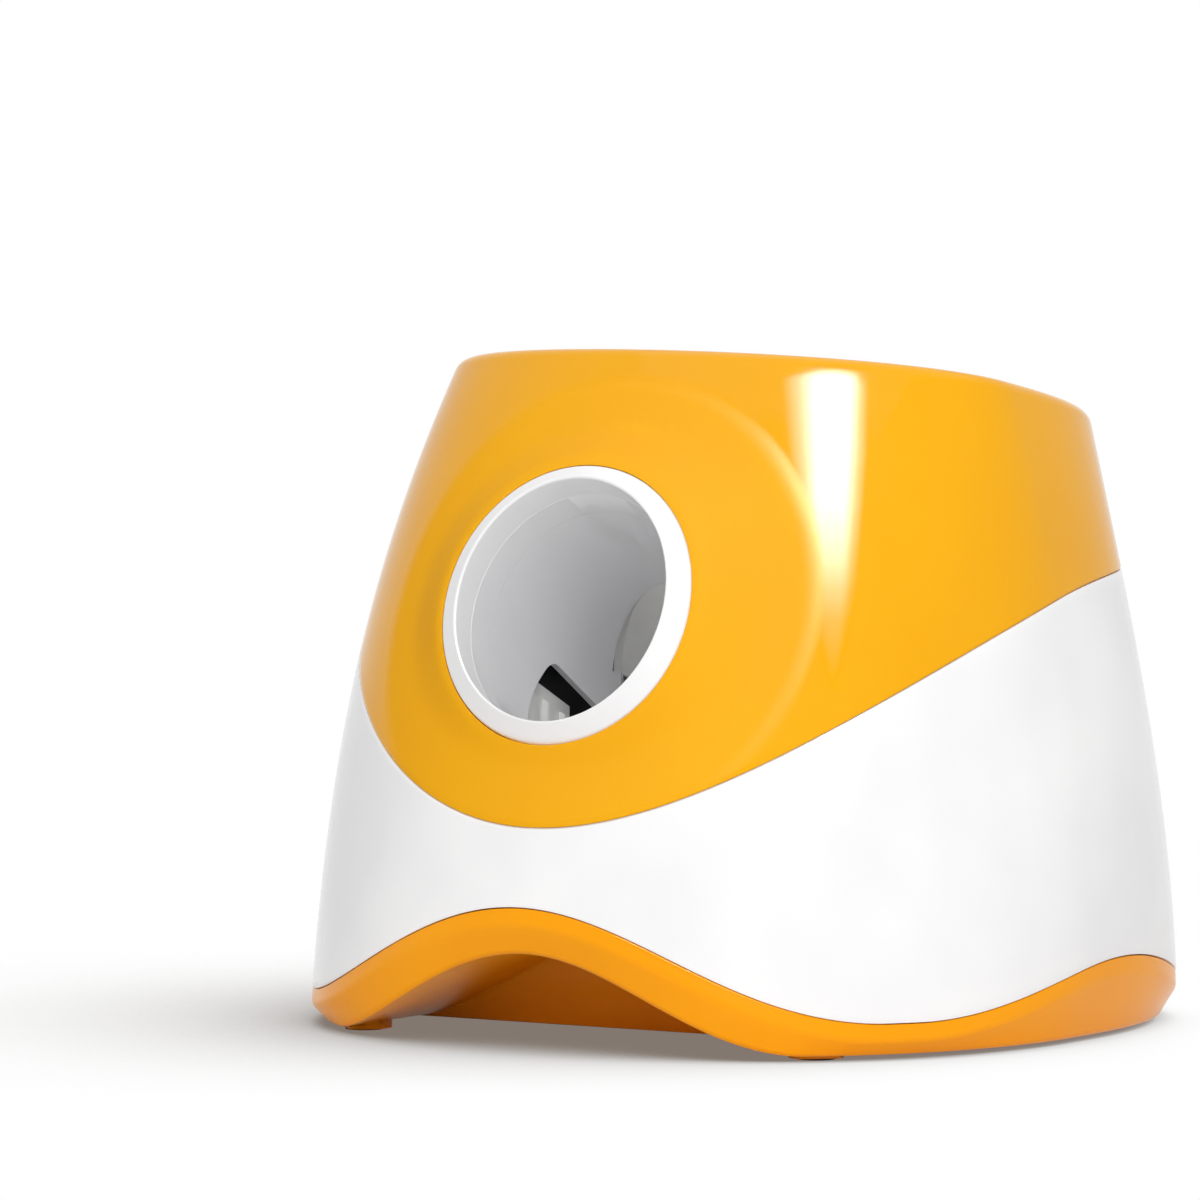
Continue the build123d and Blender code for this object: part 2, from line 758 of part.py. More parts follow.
# ---- striker ------------------------------------------------------------------------
with BuildPart() as striker:
    with BuildSketch(barrel_plane(strike_face)):
        Circle(paddle_radius)
        with Locations((0, striker_reach / 2)):
            Rectangle(2 * web_half, striker_reach)
        with Locations((0, (crossbar[0] + crossbar[1]) / 2)):
            Rectangle(2 * striker_half, crossbar[1] - crossbar[0])
        with Locations(*[(side * (striker_half - arm_width / 2), (hook_offset + striker_reach) / 2)
                         for side in (-1, 1)]):
            Rectangle(arm_width, striker_reach - hook_offset)
    extrude(amount=striker_thick)
    # stiffening rib down the back of the web
    with BuildSketch(barrel_plane(strike_face)):
        with Locations((0, striker_reach / 2)):
            Rectangle(3, striker_reach + paddle_radius)
    extrude(amount=striker_thick + 4)
    with BuildSketch(side_plane(0, pivot)):
        Circle(hub_radius)
    extrude(amount=striker_half, both=True)
    # lugs for the springs
    with BuildSketch(barrel_plane(strike_face)):
        with Locations((-spring_x, hook_offset), (spring_x, hook_offset)):
            Circle(spring_radius - 2 * spring_wire)
    extrude(amount=-lug_length)
    with BuildSketch(side_plane(0, pivot)):
        Circle(shaft_radius)
    extrude(amount=striker_half + 1, both=True, mode=Mode.SUBTRACT)
    rounds = striker.edges().filter_by(GeomType.CIRCLE)
    fillet(rounds.filter_by(lambda e: abs(e.radius - paddle_radius) < 0.01), radius=1.0)
save(striker, "striker")

with BuildPart() as striker_pad:
    with BuildSketch(barrel_plane(strike_face - pad_thick)):
        Circle(paddle_radius - 7)
    extrude(amount=pad_thick)
save(striker_pad, "striker_pad")

with BuildPart() as striker_shaft:
    with BuildSketch(side_plane(winder_x - winder_width - 0.5, pivot)):
        Circle(shaft_radius)
    extrude(amount=chassis_out + 1 - (winder_x - winder_width - 0.5))
save(striker_shaft, "striker_shaft")

with BuildPart() as shaft_bushes:
    for side in (-1, 1):
        with BuildSketch(side_plane(side * (striker_half + 0.5), pivot)):
            Circle(bush_radius + 2)
        extrude(amount=side * (chassis_x - striker_half - 0.5))
        with BuildSketch(side_plane(side * chassis_x, pivot)):
            Circle(bush_radius)
        extrude(amount=side * plate)
    with BuildSketch(side_plane(0, pivot)):
        Circle(shaft_radius + run_clear)
    extrude(amount=chassis_out + 2, both=True, mode=Mode.SUBTRACT)
save(shaft_bushes, "shaft_bushes")

with BuildPart() as sector_gear:
    with BuildSketch(side_plane(winder_x - winder_width, pivot)):
        with BuildLine():
            kept_sector = {tooth % sector_teeth for tooth in range(-sector_kept, 2)}
            teeth = gear_outline(sector_teeth, winder_module, winder_direction, kept_sector)
            Polyline(*teeth, close=True)
        make_face()
        with BuildLine():
            span = 2 * winder_module * sector_teeth
            low = winder_direction - (sector_kept + 0.7) * 360 / sector_teeth
            high = winder_direction + 1.7 * 360 / sector_teeth
            rays = [step_from((0, 0), span, a) for a in (low, (low + high) / 2, high)]
            Polyline((0, 0), *rays, close=True)
        make_face(mode=Mode.INTERSECT)
        Circle(hub_radius)
        Circle(shaft_radius, mode=Mode.SUBTRACT)
    extrude(amount=winder_width)
save(sector_gear, "sector_gear")

with BuildPart() as power_springs:
    with BuildSketch(barrel_plane(strike_face - lug_length)):
        with Locations((-spring_x, hook_offset), (spring_x, hook_offset)):
            Circle(spring_radius)
            Circle(spring_radius - spring_wire, mode=Mode.SUBTRACT)
    extrude(amount=-spring_length)
save(power_springs, "power_springs")

# ---- gears --------------------------------------------------------------------------
with BuildPart() as drive_gear:
    with BuildSketch(side_plane(winder_x - winder_width, drive_centre)):
        with BuildLine():
            first_kept = winder_direction - 180 - 180 / winder_teeth
            teeth = gear_outline(winder_teeth, winder_module, first_kept, set(range(winder_kept)))
            Polyline(*teeth, close=True)
        make_face()
    extrude(amount=winder_width)
    with BuildSketch(side_plane(drive_x - drive_width, drive_centre)):
        with BuildLine():
            Polyline(*gear_outline(drive_teeth, drive_module, second_direction), close=True)
        make_face()
    extrude(amount=drive_width)
    with BuildSketch(side_plane(drive_x, drive_centre)):
        Circle(2 * hub_radius - 4)
    extrude(amount=layer_gap)
    with BuildSketch(side_plane(0, drive_centre)):
        Circle(gear_bore)
    extrude(amount=-100, mode=Mode.SUBTRACT)
save(drive_gear, "drive_gear")


def compound_gear(centre, start_x, pinion, big, gap):
    """Pinion and big gear in one piece, each given as teeth, module, phase, width."""
    with BuildPart() as gear:
        with BuildSketch(side_plane(start_x - pinion[3] - gap, centre)):
            with BuildLine():
                Polyline(*gear_outline(*pinion[:3]), close=True)
            make_face()
        extrude(amount=pinion[3] + gap)
        with BuildSketch(side_plane(start_x - pinion[3] - gap - big[3], centre)):
            with BuildLine():
                Polyline(*gear_outline(*big[:3]), close=True)
            make_face()
        extrude(amount=big[3])
        with BuildSketch(side_plane(0, centre)):
            Circle(gear_bore)
        extrude(amount=-100, mode=Mode.SUBTRACT)
    return gear


second_gear = compound_gear(
    second_centre, drive_x,
    (drive_pinion, drive_module, second_direction - 180 + 180 / drive_pinion, drive_width),
    (second_teeth, second_module, first_direction, second_width), layer_gap)
save(second_gear, "second_gear")

first_gear = compound_gear(
    first_centre, second_x,
    (second_pinion, second_module, first_direction - 180 + 180 / second_pinion, second_width),
    (first_teeth, first_module, motor_direction, first_width), layer_gap)
save(first_gear, "first_gear")

with BuildPart() as motor_pinion:
    with BuildSketch(side_plane(first_x - first_width, motor_centre)):
        with BuildLine():
            motor_phase = motor_direction - 180 + 180 / first_pinion
            Polyline(*gear_outline(first_pinion, first_module, motor_phase), close=True)
        make_face()
        Circle(motor_shaft, mode=Mode.SUBTRACT)
    extrude(amount=first_width)
save(motor_pinion, "motor_pinion")

with BuildPart() as motor_shaft_pin:
    with BuildSketch(side_plane(cover_x - plate - motor_length / 2, motor_centre)):
        Circle(motor_shaft)
    extrude(amount=first_x + 0.5 - (cover_x - plate - motor_length / 2))
save(motor_shaft_pin, "motor_shaft")

with BuildPart() as motor:
    with BuildSketch(side_plane(cover_x - plate - motor_length, motor_centre)):
        Circle(motor_radius)
    extrude(amount=motor_length)
    fillet(motor.edges().filter_by(GeomType.CIRCLE), radius=1.2)
    with BuildSketch(side_plane(cover_x - plate, motor_centre)):
        Circle(motor_shaft + run_clear)
    extrude(amount=-(motor_length / 2 + 1), mode=Mode.SUBTRACT)
save(motor, "motor")

with BuildPart() as motor_end_cap:
    with BuildSketch(side_plane(cover_x - plate - motor_length - motor_cap, motor_centre)):
        Circle(motor_radius - 2.5)
    extrude(amount=motor_cap)
    with BuildSketch(side_plane(cover_x - plate - motor_length - motor_cap - 2, motor_centre)):
        with Locations((-6, 0), (6, 0)):
            Rectangle(0.8, 3.5)
    extrude(amount=3)
save(motor_end_cap, "motor_end_cap")

with BuildPart() as gear_axles:
    for centre in (drive_centre, second_centre, first_centre):
        with BuildSketch(side_plane(cover_x - plate / 2, centre)):
            Circle(axle_radius)
        extrude(amount=-chassis_x - (cover_x - plate / 2))
save(gear_axles, "gear_axles")

# ---- chassis --------------------------------------------------------------------------
for side, label in ((-1, "chassis_left"), (1, "chassis_right")):
    with BuildPart() as side_plate:
        with BuildSketch(side_plane(side * chassis_x, (0, 0))):
            with BuildLine():
                FilletPolyline(*chassis_outline, radius=5, close=True)
            make_face()
        extrude(amount=side * plate)
        # foot flange on the base
        with BuildSketch(Plane.XY.offset(floor_top)):
            with Locations((side * (chassis_x - foot_width / 2), (foot_y[0] + foot_y[1]) / 2)):
                Rectangle(foot_width, foot_y[1] - foot_y[0])
        extrude(amount=plate)
        # upright ribs that steady the barrel
        for rib_y, rib_top in barrel_ribs:
            with BuildSketch(Plane.XY.offset(rib_foot)):
                with Locations((side * (chassis_x - rib_reach / 2 + 0.1), rib_y)):
                    Rectangle(rib_reach + 0.2, rib_thick)
            extrude(amount=rib_top - rib_foot)
        # anchor of the power spring
        with BuildSketch(side_plane(side * (chassis_x + 0.5), spring_anchor)):
            Circle(anchor_radius)
        extrude(amount=-side * (chassis_x - spring_x + spring_radius))
        if side < 0:
            # pillars that carry the gearbox cover
            with BuildSketch(side_plane(-chassis_out, (0, 0))):
                with Locations(*pillars):
                    Circle(post_radius)
            extrude(amount=cover_x + chassis_out)
            with BuildSketch(side_plane(cover_x, (0, 0))):
                with Locations(*pillars):
                    Circle(screw_radius + run_clear)
            extrude(amount=10, mode=Mode.SUBTRACT)
            for centre in (drive_centre, second_centre, first_centre):
                with BuildSketch(side_plane(-chassis_x, centre)):
                    Circle(axle_radius + 0.01)
                extrude(amount=-plate, mode=Mode.SUBTRACT)
        with BuildSketch(side_plane(0, pivot)):
            Circle(bush_radius + 0.01)
        extrude(amount=side * 100, mode=Mode.SUBTRACT)
        for along in tube_boss_along:
            with BuildSketch(side_plane(side * (chassis_x - 1), down_barrel(along))):
                Circle(screw_radius + fit_gap)
            extrude(amount=side * (plate + 2), mode=Mode.SUBTRACT)
        with BuildSketch(Plane.XY.offset(floor_top - 1)):
            with Locations(*[place for place in foot_screws if place[0] * side > 0]):
                Circle(screw_radius + run_clear)
        extrude(amount=plate + 2, mode=Mode.SUBTRACT)
    save(side_plate, label)

with BuildPart() as gearbox_cover:
    with BuildSketch(side_plane(cover_x - plate, (0, 0))):
        with BuildLine():
            FilletPolyline(*cover_outline, radius=6, close=True)
        make_face()
    extrude(amount=plate)
    for centre in (drive_centre, second_centre, first_centre):
        with BuildSketch(side_plane(cover_x, centre)):
            Circle(axle_radius + 0.01)
        extrude(amount=-plate / 2, mode=Mode.SUBTRACT)
    with BuildSketch(side_plane(cover_x, motor_centre)):
        Circle(motor_shaft + 1.2)
    extrude(amount=-plate, mode=Mode.SUBTRACT)
    with BuildSketch(side_plane(cover_x, (0, 0))):
        with Locations(*pillars):
            Circle(screw_radius + fit_gap)
    extrude(amount=-plate, mode=Mode.SUBTRACT)
save(gearbox_cover, "gearbox_cover")

# ---- batteries ----------------------------------------------------------------------------
with BuildPart() as battery_box:
    with BuildSketch(Plane.XY.offset(floor_top)):
        with Locations(((box_x + box_x_end) / 2, cell_mid_y)):
            Rectangle(box_x_end - box_x, box_y_end - box_y)
    extrude(amount=box_top - floor_top)
    with BuildSketch(Plane.XY.offset(floor_top)):
        with Locations(((box_x + box_x_end) / 2, cell_mid_y)):
            Rectangle(box_x_end - box_x - 2 * box_wall, box_y_end - box_y - 2 * box_wall)
    extrude(amount=box_top - floor_top - box_wall, mode=Mode.SUBTRACT)
save(battery_box, "battery_box")

with BuildPart() as battery_cells:
    for place in cell_places:
        with BuildSketch(side_plane(cell_x, place)):
            Circle(cell_radius)
        extrude(amount=cell_length - 1.5)
        with BuildSketch(side_plane(cell_x + cell_length - 1.5, place)):
            Circle(cell_radius / 4)
        extrude(amount=1.5)
save(battery_cells, "battery_cells")

with BuildPart() as battery_contacts:
    for place in cell_places:
        with BuildSketch(side_plane(box_x + box_wall, place)):
            Circle(cell_radius / 2)
        extrude(amount=0.5)
        with BuildSketch(side_plane(box_x + box_wall + 0.5, place)):
            Circle(cell_radius / 3)
        extrude(amount=contact_space - 0.6, taper=20)
        with BuildSketch(side_plane(cell_x + cell_length + button_space - 0.5, place)):
            Circle(cell_radius / 2)
        extrude(amount=0.5)
save(battery_contacts, "battery_contacts")

with BuildPart() as battery_door:
    # plate with a lip that ends in the hinge roll
    with BuildSketch(side_plane(door_mid_x, (0, 0))):
        with BuildLine():
            Polyline(
                (door_y[0], floor_under),
                (door_y[1], floor_under),
                (door_y[1], door_pin_z - 0.7),
                (door_pin_y, door_pin_z - 0.7),
                (door_pin_y, door_pin_z + 0.4),
                (door_y[0], door_pin_z + 0.4),
                close=True,
            )
        make_face()
        with Locations((door_pin_y, door_pin_z)):
            Circle(door_pin)
    extrude(amount=door_half, both=True)
    with BuildSketch(side_plane(door_mid_x, (door_pin_y, door_pin_z))):
        Circle(door_pin)
    extrude(amount=door_pin_reach, both=True)
    with BuildSketch(Plane.XY.offset(floor_under)):
        with Locations(door_screw_place):
            Circle(head_radius + fit_gap)
    extrude(amount=1.2, mode=Mode.SUBTRACT)
    with BuildSketch(Plane.XY):
        with Locations(door_screw_place):
            Circle(screw_radius + run_clear)
    extrude(amount=10, mode=Mode.SUBTRACT)
save(battery_door, "battery_door")

with BuildPart() as door_screw:
    with BuildSketch(Plane.XY.offset(floor_under)):
        with Locations(door_screw_place):
            Circle(head_radius)
    extrude(amount=1.2)
    with BuildSketch(Plane.XY.offset(floor_under + 1.2)):
        with Locations(door_screw_place):
            Circle(screw_radius)
    extrude(amount=door_thick - 1.2)
    with BuildSketch(Plane.XY.offset(floor_under)):
        with Locations(door_screw_place):
            Rectangle(4, 0.8)
            Rectangle(0.8, 4)
    extrude(amount=0.7, mode=Mode.SUBTRACT)
save(door_screw, "door_screw")

# ---- controls --------------------------------------------------------------------------------
with BuildPart() as control_panel:
    with BuildSketch(deck_plane(panel_y, panel_thick)):
        SlotOverall(panel_length, panel_width)
    extrude(amount=panel_thick)
    with BuildSketch(deck_plane(panel_y)):
        with Locations(*button_places):
            Circle(button_radius + 0.1)
        with Locations(*light_places):
            Circle(light_radius + run_clear)
    extrude(amount=-panel_thick, mode=Mode.SUBTRACT)
save(control_panel, "control_panel")

for place, label in zip(button_places, ("power_button", "distance_button")):
    with BuildPart() as button:
        with BuildSketch(deck_plane(panel_y, panel_thick + 0.05)):
            with Locations(place):
                Circle(button_radius + 1.1)
        extrude(amount=-button_flange)
        with BuildSketch(deck_plane(panel_y, panel_thick + 0.05)):
            with Locations(place):
                Circle(button_radius)
        extrude(amount=panel_thick + 0.05 + button_rise)
        fillet(button.edges().sort_by(Axis((0, 0, 0), deck_plane(0).z_dir))[-1], radius=0.8)
        with BuildSketch(deck_plane(panel_y, panel_thick + 0.05 + button_flange)):
            with Locations(place):
                Circle(2)
        extrude(amount=-(stem_end - panel_thick - 0.05 - button_flange))
    save(button, label)

with BuildPart() as indicator_lights:
    with BuildSketch(deck_plane(panel_y, board_drop - led_height)):
        with Locations(*light_places):
            Circle(light_radius)
    extrude(amount=board_drop - led_height + 0.3)
save(indicator_lights, "indicator_lights")

with BuildPart() as control_board:
    with BuildSketch(deck_plane(panel_y, board_drop + board_thick)):
        RectangleRounded(board_length, board_width, 2)
        with GridLocations(board_length - 7, 1, 2, 1):
            Circle(screw_radius - 0.3, mode=Mode.SUBTRACT)
    extrude(amount=board_thick)
save(control_board, "control_board")

with BuildPart() as board_parts:
    with BuildSketch(deck_plane(panel_y, board_drop)):
        with Locations(*button_places):
            Rectangle(6, 6)
    extrude(amount=switch_height - 1.5)
    with BuildSketch(deck_plane(panel_y, board_drop - switch_height + 1.5)):
        with Locations(*button_places):
            Circle(1.7)
    extrude(amount=1.5)
    with BuildSketch(deck_plane(panel_y, board_drop)):
        with Locations(*light_places):
            Rectangle(3.2, 2.6)
    extrude(amount=led_height)
    with BuildSketch(deck_plane(panel_y, board_drop + board_thick)):
        with Locations((0, 0)):
            Rectangle(10, 10)
        with Locations((24, 2), (-24, 2)):
            Rectangle(12, 6)
    extrude(amount=-3)
save(board_parts, "board_parts")

with BuildPart() as dc_inlet:
    with BuildSketch(jack_plane.offset(-jack_depth - 4)):
        Circle(jack_radius)
    extrude(amount=jack_depth + 4.6)
    with BuildSketch(jack_plane.offset(-jack_depth - 4)):
        RectangleRounded(2 * jack_radius + 4, 2 * jack_radius + 4, 2)
    extrude(amount=jack_depth - 1)
    with BuildSketch(jack_plane.offset(0.6)):
        Circle(jack_bore)
        Circle(jack_pin, mode=Mode.SUBTRACT)
    extrude(amount=-jack_depth, mode=Mode.SUBTRACT)
save(dc_inlet, "dc_inlet")

with BuildPart() as ball_sensors:
    for side in (-1, 1):
        with BuildSketch(side_plane(side * (tube_radius + 0.1), down_barrel(sensor_along))):
            RectangleRounded(9, 9, 1)
        extrude(amount=side * 5)
save(ball_sensors, "ball_sensors")

# ---- screws ------------------------------------------------------------------------------------
with BuildPart() as body_screws:
    with BuildSketch(Plane.XY.offset(floor_under)):
        with Locations(*screw_places):
            Circle(head_radius)
    extrude(amount=head_height)
    for x, y, split in post_places:
        with BuildSketch(Plane.XY.offset(floor_under + head_height)):
            with Locations((x, y)):
                Circle(screw_radius)
        extrude(amount=split + 0.6 * post_grip - floor_under - head_height)
    with BuildSketch(Plane.XY.offset(floor_under)):
        with Locations(*screw_places):
            Rectangle(4, 0.8)
            Rectangle(0.8, 4)
    extrude(amount=1.2, mode=Mode.SUBTRACT)
save(body_screws, "body_screws")

with BuildPart() as tube_screws:
    for along in tube_boss_along:
        for side in (-1, 1):
            with BuildSketch(side_plane(side * chassis_out, down_barrel(along))):
                Circle(head_radius)
            extrude(amount=side * 0.9)
            with BuildSketch(side_plane(side * chassis_out, down_barrel(along))):
                Circle(screw_radius)
            extrude(amount=-side * (plate + 8))
save(tube_screws, "tube_screws")

with BuildPart() as gearbox_screws:
    with BuildSketch(side_plane(cover_x - plate, (0, 0))):
        with Locations(*pillars):
            Circle(head_radius)
    extrude(amount=-head_height)
    with BuildSketch(side_plane(cover_x - plate, (0, 0))):
        with Locations(*pillars):
            Circle(screw_radius)
    extrude(amount=plate + 8)
save(gearbox_screws, "gearbox_screws")

with BuildPart() as chassis_screws:
    with BuildSketch(Plane.XY.offset(floor_under - 0.9)):
        with Locations(*foot_screws):
            Circle(head_radius)
    extrude(amount=0.9)
    with BuildSketch(Plane.XY.offset(floor_under)):
        with Locations(*foot_screws):
            Circle(screw_radius)
    extrude(amount=floor_thick + plate)
save(chassis_screws, "chassis_screws")

with BuildPart() as board_screws:
    with BuildSketch(deck_plane(panel_y, board_drop + board_thick)):
        with GridLocations(board_length - 7, 1, 2, 1):
            Circle(head_radius - 0.6)
    extrude(amount=-head_height / 2)
    with BuildSketch(deck_plane(panel_y, board_drop + board_thick)):
        with GridLocations(board_length - 7, 1, 2, 1):
            Circle(screw_radius - 0.35)
    extrude(amount=board_thick + 5)
save(board_screws, "board_screws")
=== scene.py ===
"""Ball launcher for dogs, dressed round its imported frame. Metres, +Z up, muzzle towards -Y."""

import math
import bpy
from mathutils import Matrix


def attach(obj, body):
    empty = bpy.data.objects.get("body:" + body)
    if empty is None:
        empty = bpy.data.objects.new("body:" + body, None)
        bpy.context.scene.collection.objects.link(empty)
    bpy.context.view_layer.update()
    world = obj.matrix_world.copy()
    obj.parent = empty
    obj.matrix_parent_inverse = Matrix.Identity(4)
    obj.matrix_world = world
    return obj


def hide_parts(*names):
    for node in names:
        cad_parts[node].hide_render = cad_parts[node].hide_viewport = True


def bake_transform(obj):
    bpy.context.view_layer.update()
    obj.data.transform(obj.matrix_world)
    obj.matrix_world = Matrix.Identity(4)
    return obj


bl_info = {
    "name": "Ball Launcher",
    "version": (1, 0, 0),
    "blender": (4, 5, 0),
    "location": "View3D > Sidebar > Launcher",
    "description": "Dresses the egg-shaped ball launcher piece by piece",
    "category": "Object",
}

import bmesh
import bpy
from mathutils import Vector

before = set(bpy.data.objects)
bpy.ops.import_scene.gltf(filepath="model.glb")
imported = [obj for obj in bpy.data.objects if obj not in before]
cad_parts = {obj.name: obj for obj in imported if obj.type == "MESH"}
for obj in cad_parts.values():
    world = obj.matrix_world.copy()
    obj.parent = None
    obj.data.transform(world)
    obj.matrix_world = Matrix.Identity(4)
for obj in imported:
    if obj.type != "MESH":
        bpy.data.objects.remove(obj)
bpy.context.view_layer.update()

MM = 0.001
COLUMNS = 288                 # points round the body

# The egg form and its seams, in millimetres.
FORM_HEIGHT = 205.0
# Half sizes of the body: at the foot, at the top, the bulge half way up and its ease.
HALF_WIDTH = (130.0, 97.0, 10.0, 0.0)
FRONT_DEPTH = (128.0, 55.0, 14.0, -3.5)
REAR_DEPTH = (134.5, 102.0, -7.5, 3.0)
FRONT_POWER = 2.0             # an ellipse in front
REAR_POWER = 2.6              # squarer behind
FOOT_CENTRE = -6.75           # where the sections' middle lies at the foot
CENTRE_DRIFT = 7.5            # and how far it moves back up to the top
DECK_HEIGHT = 201.45
DECK_SLOPE = 0.189
WALL = 2.5
SEAM_GAP = 0.3
BASE_SEAM_LOW = 11.0
SKIRT_BAND = 5.0
SKIRT_TAPER = 5.0
FLOOR_UNDER = 1.5
COLOUR_SEAM = ((-163.0, 18.0), (-123.0, 63.0), (-63.0, 110.5), (-3.0, 135.0), (67.0, 141.5), (157.0, 137.0))

# The muzzle and the barrel.
MUZZLE = Vector((0.0, -97.4, 134.4))
RING_TILT = math.radians(18.5)
BARREL_TILT = math.radians(32.0)
RING_RADIUS = 44.1
BORE = 37.1
TUBE_WALL = 2.5
TUBE_LENGTH = 148.0
RING_DEPTH = 16.0             # the ring's sleeve reaches this far in
LINER_DEPTH = 5.7             # a grey liner starts this far inside the ring
SWELL_REACH = 90.0            # the swelling round the ring ends within this radius
SWELL_BACK = -20.0            # and in front of this y
RING_OUT = Vector((0.0, -math.cos(RING_TILT), math.sin(RING_TILT)))
RING_UP = Vector((0.0, math.sin(RING_TILT), math.cos(RING_TILT)))
BARREL_DOWN = Vector((0.0, math.cos(BARREL_TILT), -math.sin(BARREL_TILT)))
BARREL_UP = Vector((0.0, math.sin(BARREL_TILT), math.cos(BARREL_TILT)))
RIGHT = Vector((1.0, 0.0, 0.0))

# The top face, its bowl and its controls.
DECK_OUT = Vector((0.0, DECK_SLOPE, 1.0)).normalized()
DECK_BACK = Vector((0.0, 1.0, -DECK_SLOPE)).normalized()
HOPPER_Y = 17.1
PANEL_Y = 86.6
SEAT = 59.2                   # radius of the bowl flange's seat
SEAT_DEPTH = 1.3
BOWL_HOLE = 54.2
DECK_WALL = 3.0
JACK_HEIGHT = 45.0
JACK_RADIUS = 5.7


# ---- colours and nodes ------------------------------------------------------
def linear(code):
    """Linear RGBA of an sRGB hex colour."""
    parts = [int(code[i:i + 2], 16) / 255 for i in (1, 3, 5)]
    return [p / 12.92 if p <= 0.04045 else ((p + 0.055) / 1.055) ** 2.4 for p in parts] + [1.0]


def add_node(tree, kind, settings=None, links=None):
    """Add a node, set its attributes or sockets, and link other nodes' outputs to its sockets."""
    node = tree.nodes.new(kind)
    for name, value in (settings or {}).items():
        if hasattr(node, name):
            setattr(node, name, value)
        else:
            node.inputs[name].default_value = value
    for socket, (source, output) in (links or {}).items():
        tree.links.new(source.outputs[output], node.inputs[socket])
    return node


def bare_tree(holder):
    """Emptied node tree of a material or world."""
    holder.use_nodes = True
    holder.node_tree.nodes.clear()
    return holder.node_tree


def finish_shader(name, settings):
    """New material with a Principled shader wired to its output."""
    material = bpy.data.materials.new(name)
    tree = bare_tree(material)
    shader = add_node(tree, "ShaderNodeBsdfPrincipled", settings)
    add_node(tree, "ShaderNodeOutputMaterial", None, {"Surface": (shader, "BSDF")})
    return material, tree, shader


def per_metre(size_mm):
    """Noise scale whose features are about this many millimetres across."""
    return 1000.0 / size_mm


def noise(tree, size_mm, detail, place=None):
    """Noise in the object's own space, or in the place given as a node and its output."""
    return add_node(tree, "ShaderNodeTexNoise", {"Scale": per_metre(size_mm), "Detail": detail},
                    {"Vector": place or (add_node(tree, "ShaderNodeTexCoord"), "Object")})


def emboss(tree, shader, source, strength, height_mm):
    """Relief of a real height that follows a noise."""
    bump = add_node(tree, "ShaderNodeBump", {"Strength": strength, "Distance": height_mm * MM},
                    {"Height": (source, "Fac")})
    tree.links.new(bump.outputs["Normal"], shader.inputs["Normal"])


def vary_gloss(tree, shader, source, rough):
    """Roughness that follows a noise between two values."""
    gloss = add_node(tree, "ShaderNodeMapRange", {"To Min": rough[0], "To Max": rough[1]},
                     {"Value": (source, "Fac")})
    tree.links.new(gloss.outputs["Result"], shader.inputs["Roughness"])


def roughen(tree, shader, size_mm, height_mm, rough):
    """Relief of a real size and height, and gloss that changes over patches 14 times as wide."""
    emboss(tree, shader, noise(tree, size_mm, 3.0), 1.0, height_mm)
    vary_gloss(tree, shader, noise(tree, 14 * size_mm, 2.0), rough)


def tint(tree, shader, first, second, size_mm):
    """Two close colours, linear or hex, that wander into each other over patches of a real size."""
    ramp = add_node(tree, "ShaderNodeValToRGB", None, {"Fac": (noise(tree, size_mm, 2.0), "Fac")})
    for element, position, colour in zip(ramp.color_ramp.elements, (0.35, 0.65), (first, second)):
        element.position = position
        element.color = linear(colour) if isinstance(colour, str) else colour
    tree.links.new(ramp.outputs["Color"], shader.inputs["Base Color"])


# ---- finishes ---------------------------------------------------------------
def gloss_abs(name, first, second, rough, level=0.5):
    """ABS moulded in a polished tool: sharp bright reflections that bend a little, since the skin
    sinks by about a micron over 9 mm, and pigment that drifts over 60 mm."""
    material, tree, shader = finish_shader(name, {"IOR": 1.54, "Specular IOR Level": level})
    tint(tree, shader, first, second, 60)
    roughen(tree, shader, 9, 0.0012, rough)
    return material


def blend_gloss(material, centre, near, far, rough):
    """Duller skin within near mm of a point, polished again from far mm on: a hand-blended radius."""
    tree = material.node_tree
    shader = tree.nodes["Principled BSDF"]
    place = add_node(tree, "ShaderNodeTexCoord")
    gap = add_node(tree, "ShaderNodeVectorMath", {"operation": "DISTANCE"}, {"Vector": (place, "Object")})
    gap.inputs[1].default_value = centre * MM
    fade = add_node(tree, "ShaderNodeMapRange", {"From Min": near * MM, "From Max": far * MM, "To Min": rough,
                                                 "To Max": 0.0}, {"Value": (gap, "Value")})
    gloss = shader.inputs["Roughness"].links[0].from_node
    most = add_node(tree, "ShaderNodeMath", {"operation": "MAXIMUM"},
                    {0: (gloss, "Result"), 1: (fade, "Result")})
    tree.links.new(most.outputs["Value"], shader.inputs["Roughness"])
    return material


def satin_abs(name, first, second, rough=(0.38, 0.5)):
    """ABS or nylon from a spark-eroded tool: an even grain that breaks up reflections. Real grain
    is about 0.1 mm, too fine to show, so it is drawn 0.9 mm across."""
    material, tree, shader = finish_shader(name, {"IOR": 1.54})
    tint(tree, shader, first, second, 25)
    roughen(tree, shader, 0.9, 0.02, rough)
    return material


def rubber(name, first, second):
    """Pressed rubber or foam: matt, dark and slightly cloudy, with 0.6 mm pits."""
    material, tree, shader = finish_shader(name, {"IOR": 1.52})
    tint(tree, shader, first, second, 6)
    roughen(tree, shader, 0.6, 0.03, (0.72, 0.85))
    return material


def acetal(name, first, second):
    """Acetal: waxy and half gloss, and a little light passes into it, so its edges look soft."""
    material, tree, shader = finish_shader(name, {"IOR": 1.48, "Subsurface Weight": 0.15,
                                                  "Subsurface Scale": 0.002})
    tint(tree, shader, first, second, 12)
    roughen(tree, shader, 1.5, 0.008, (0.3, 0.4))
    return material


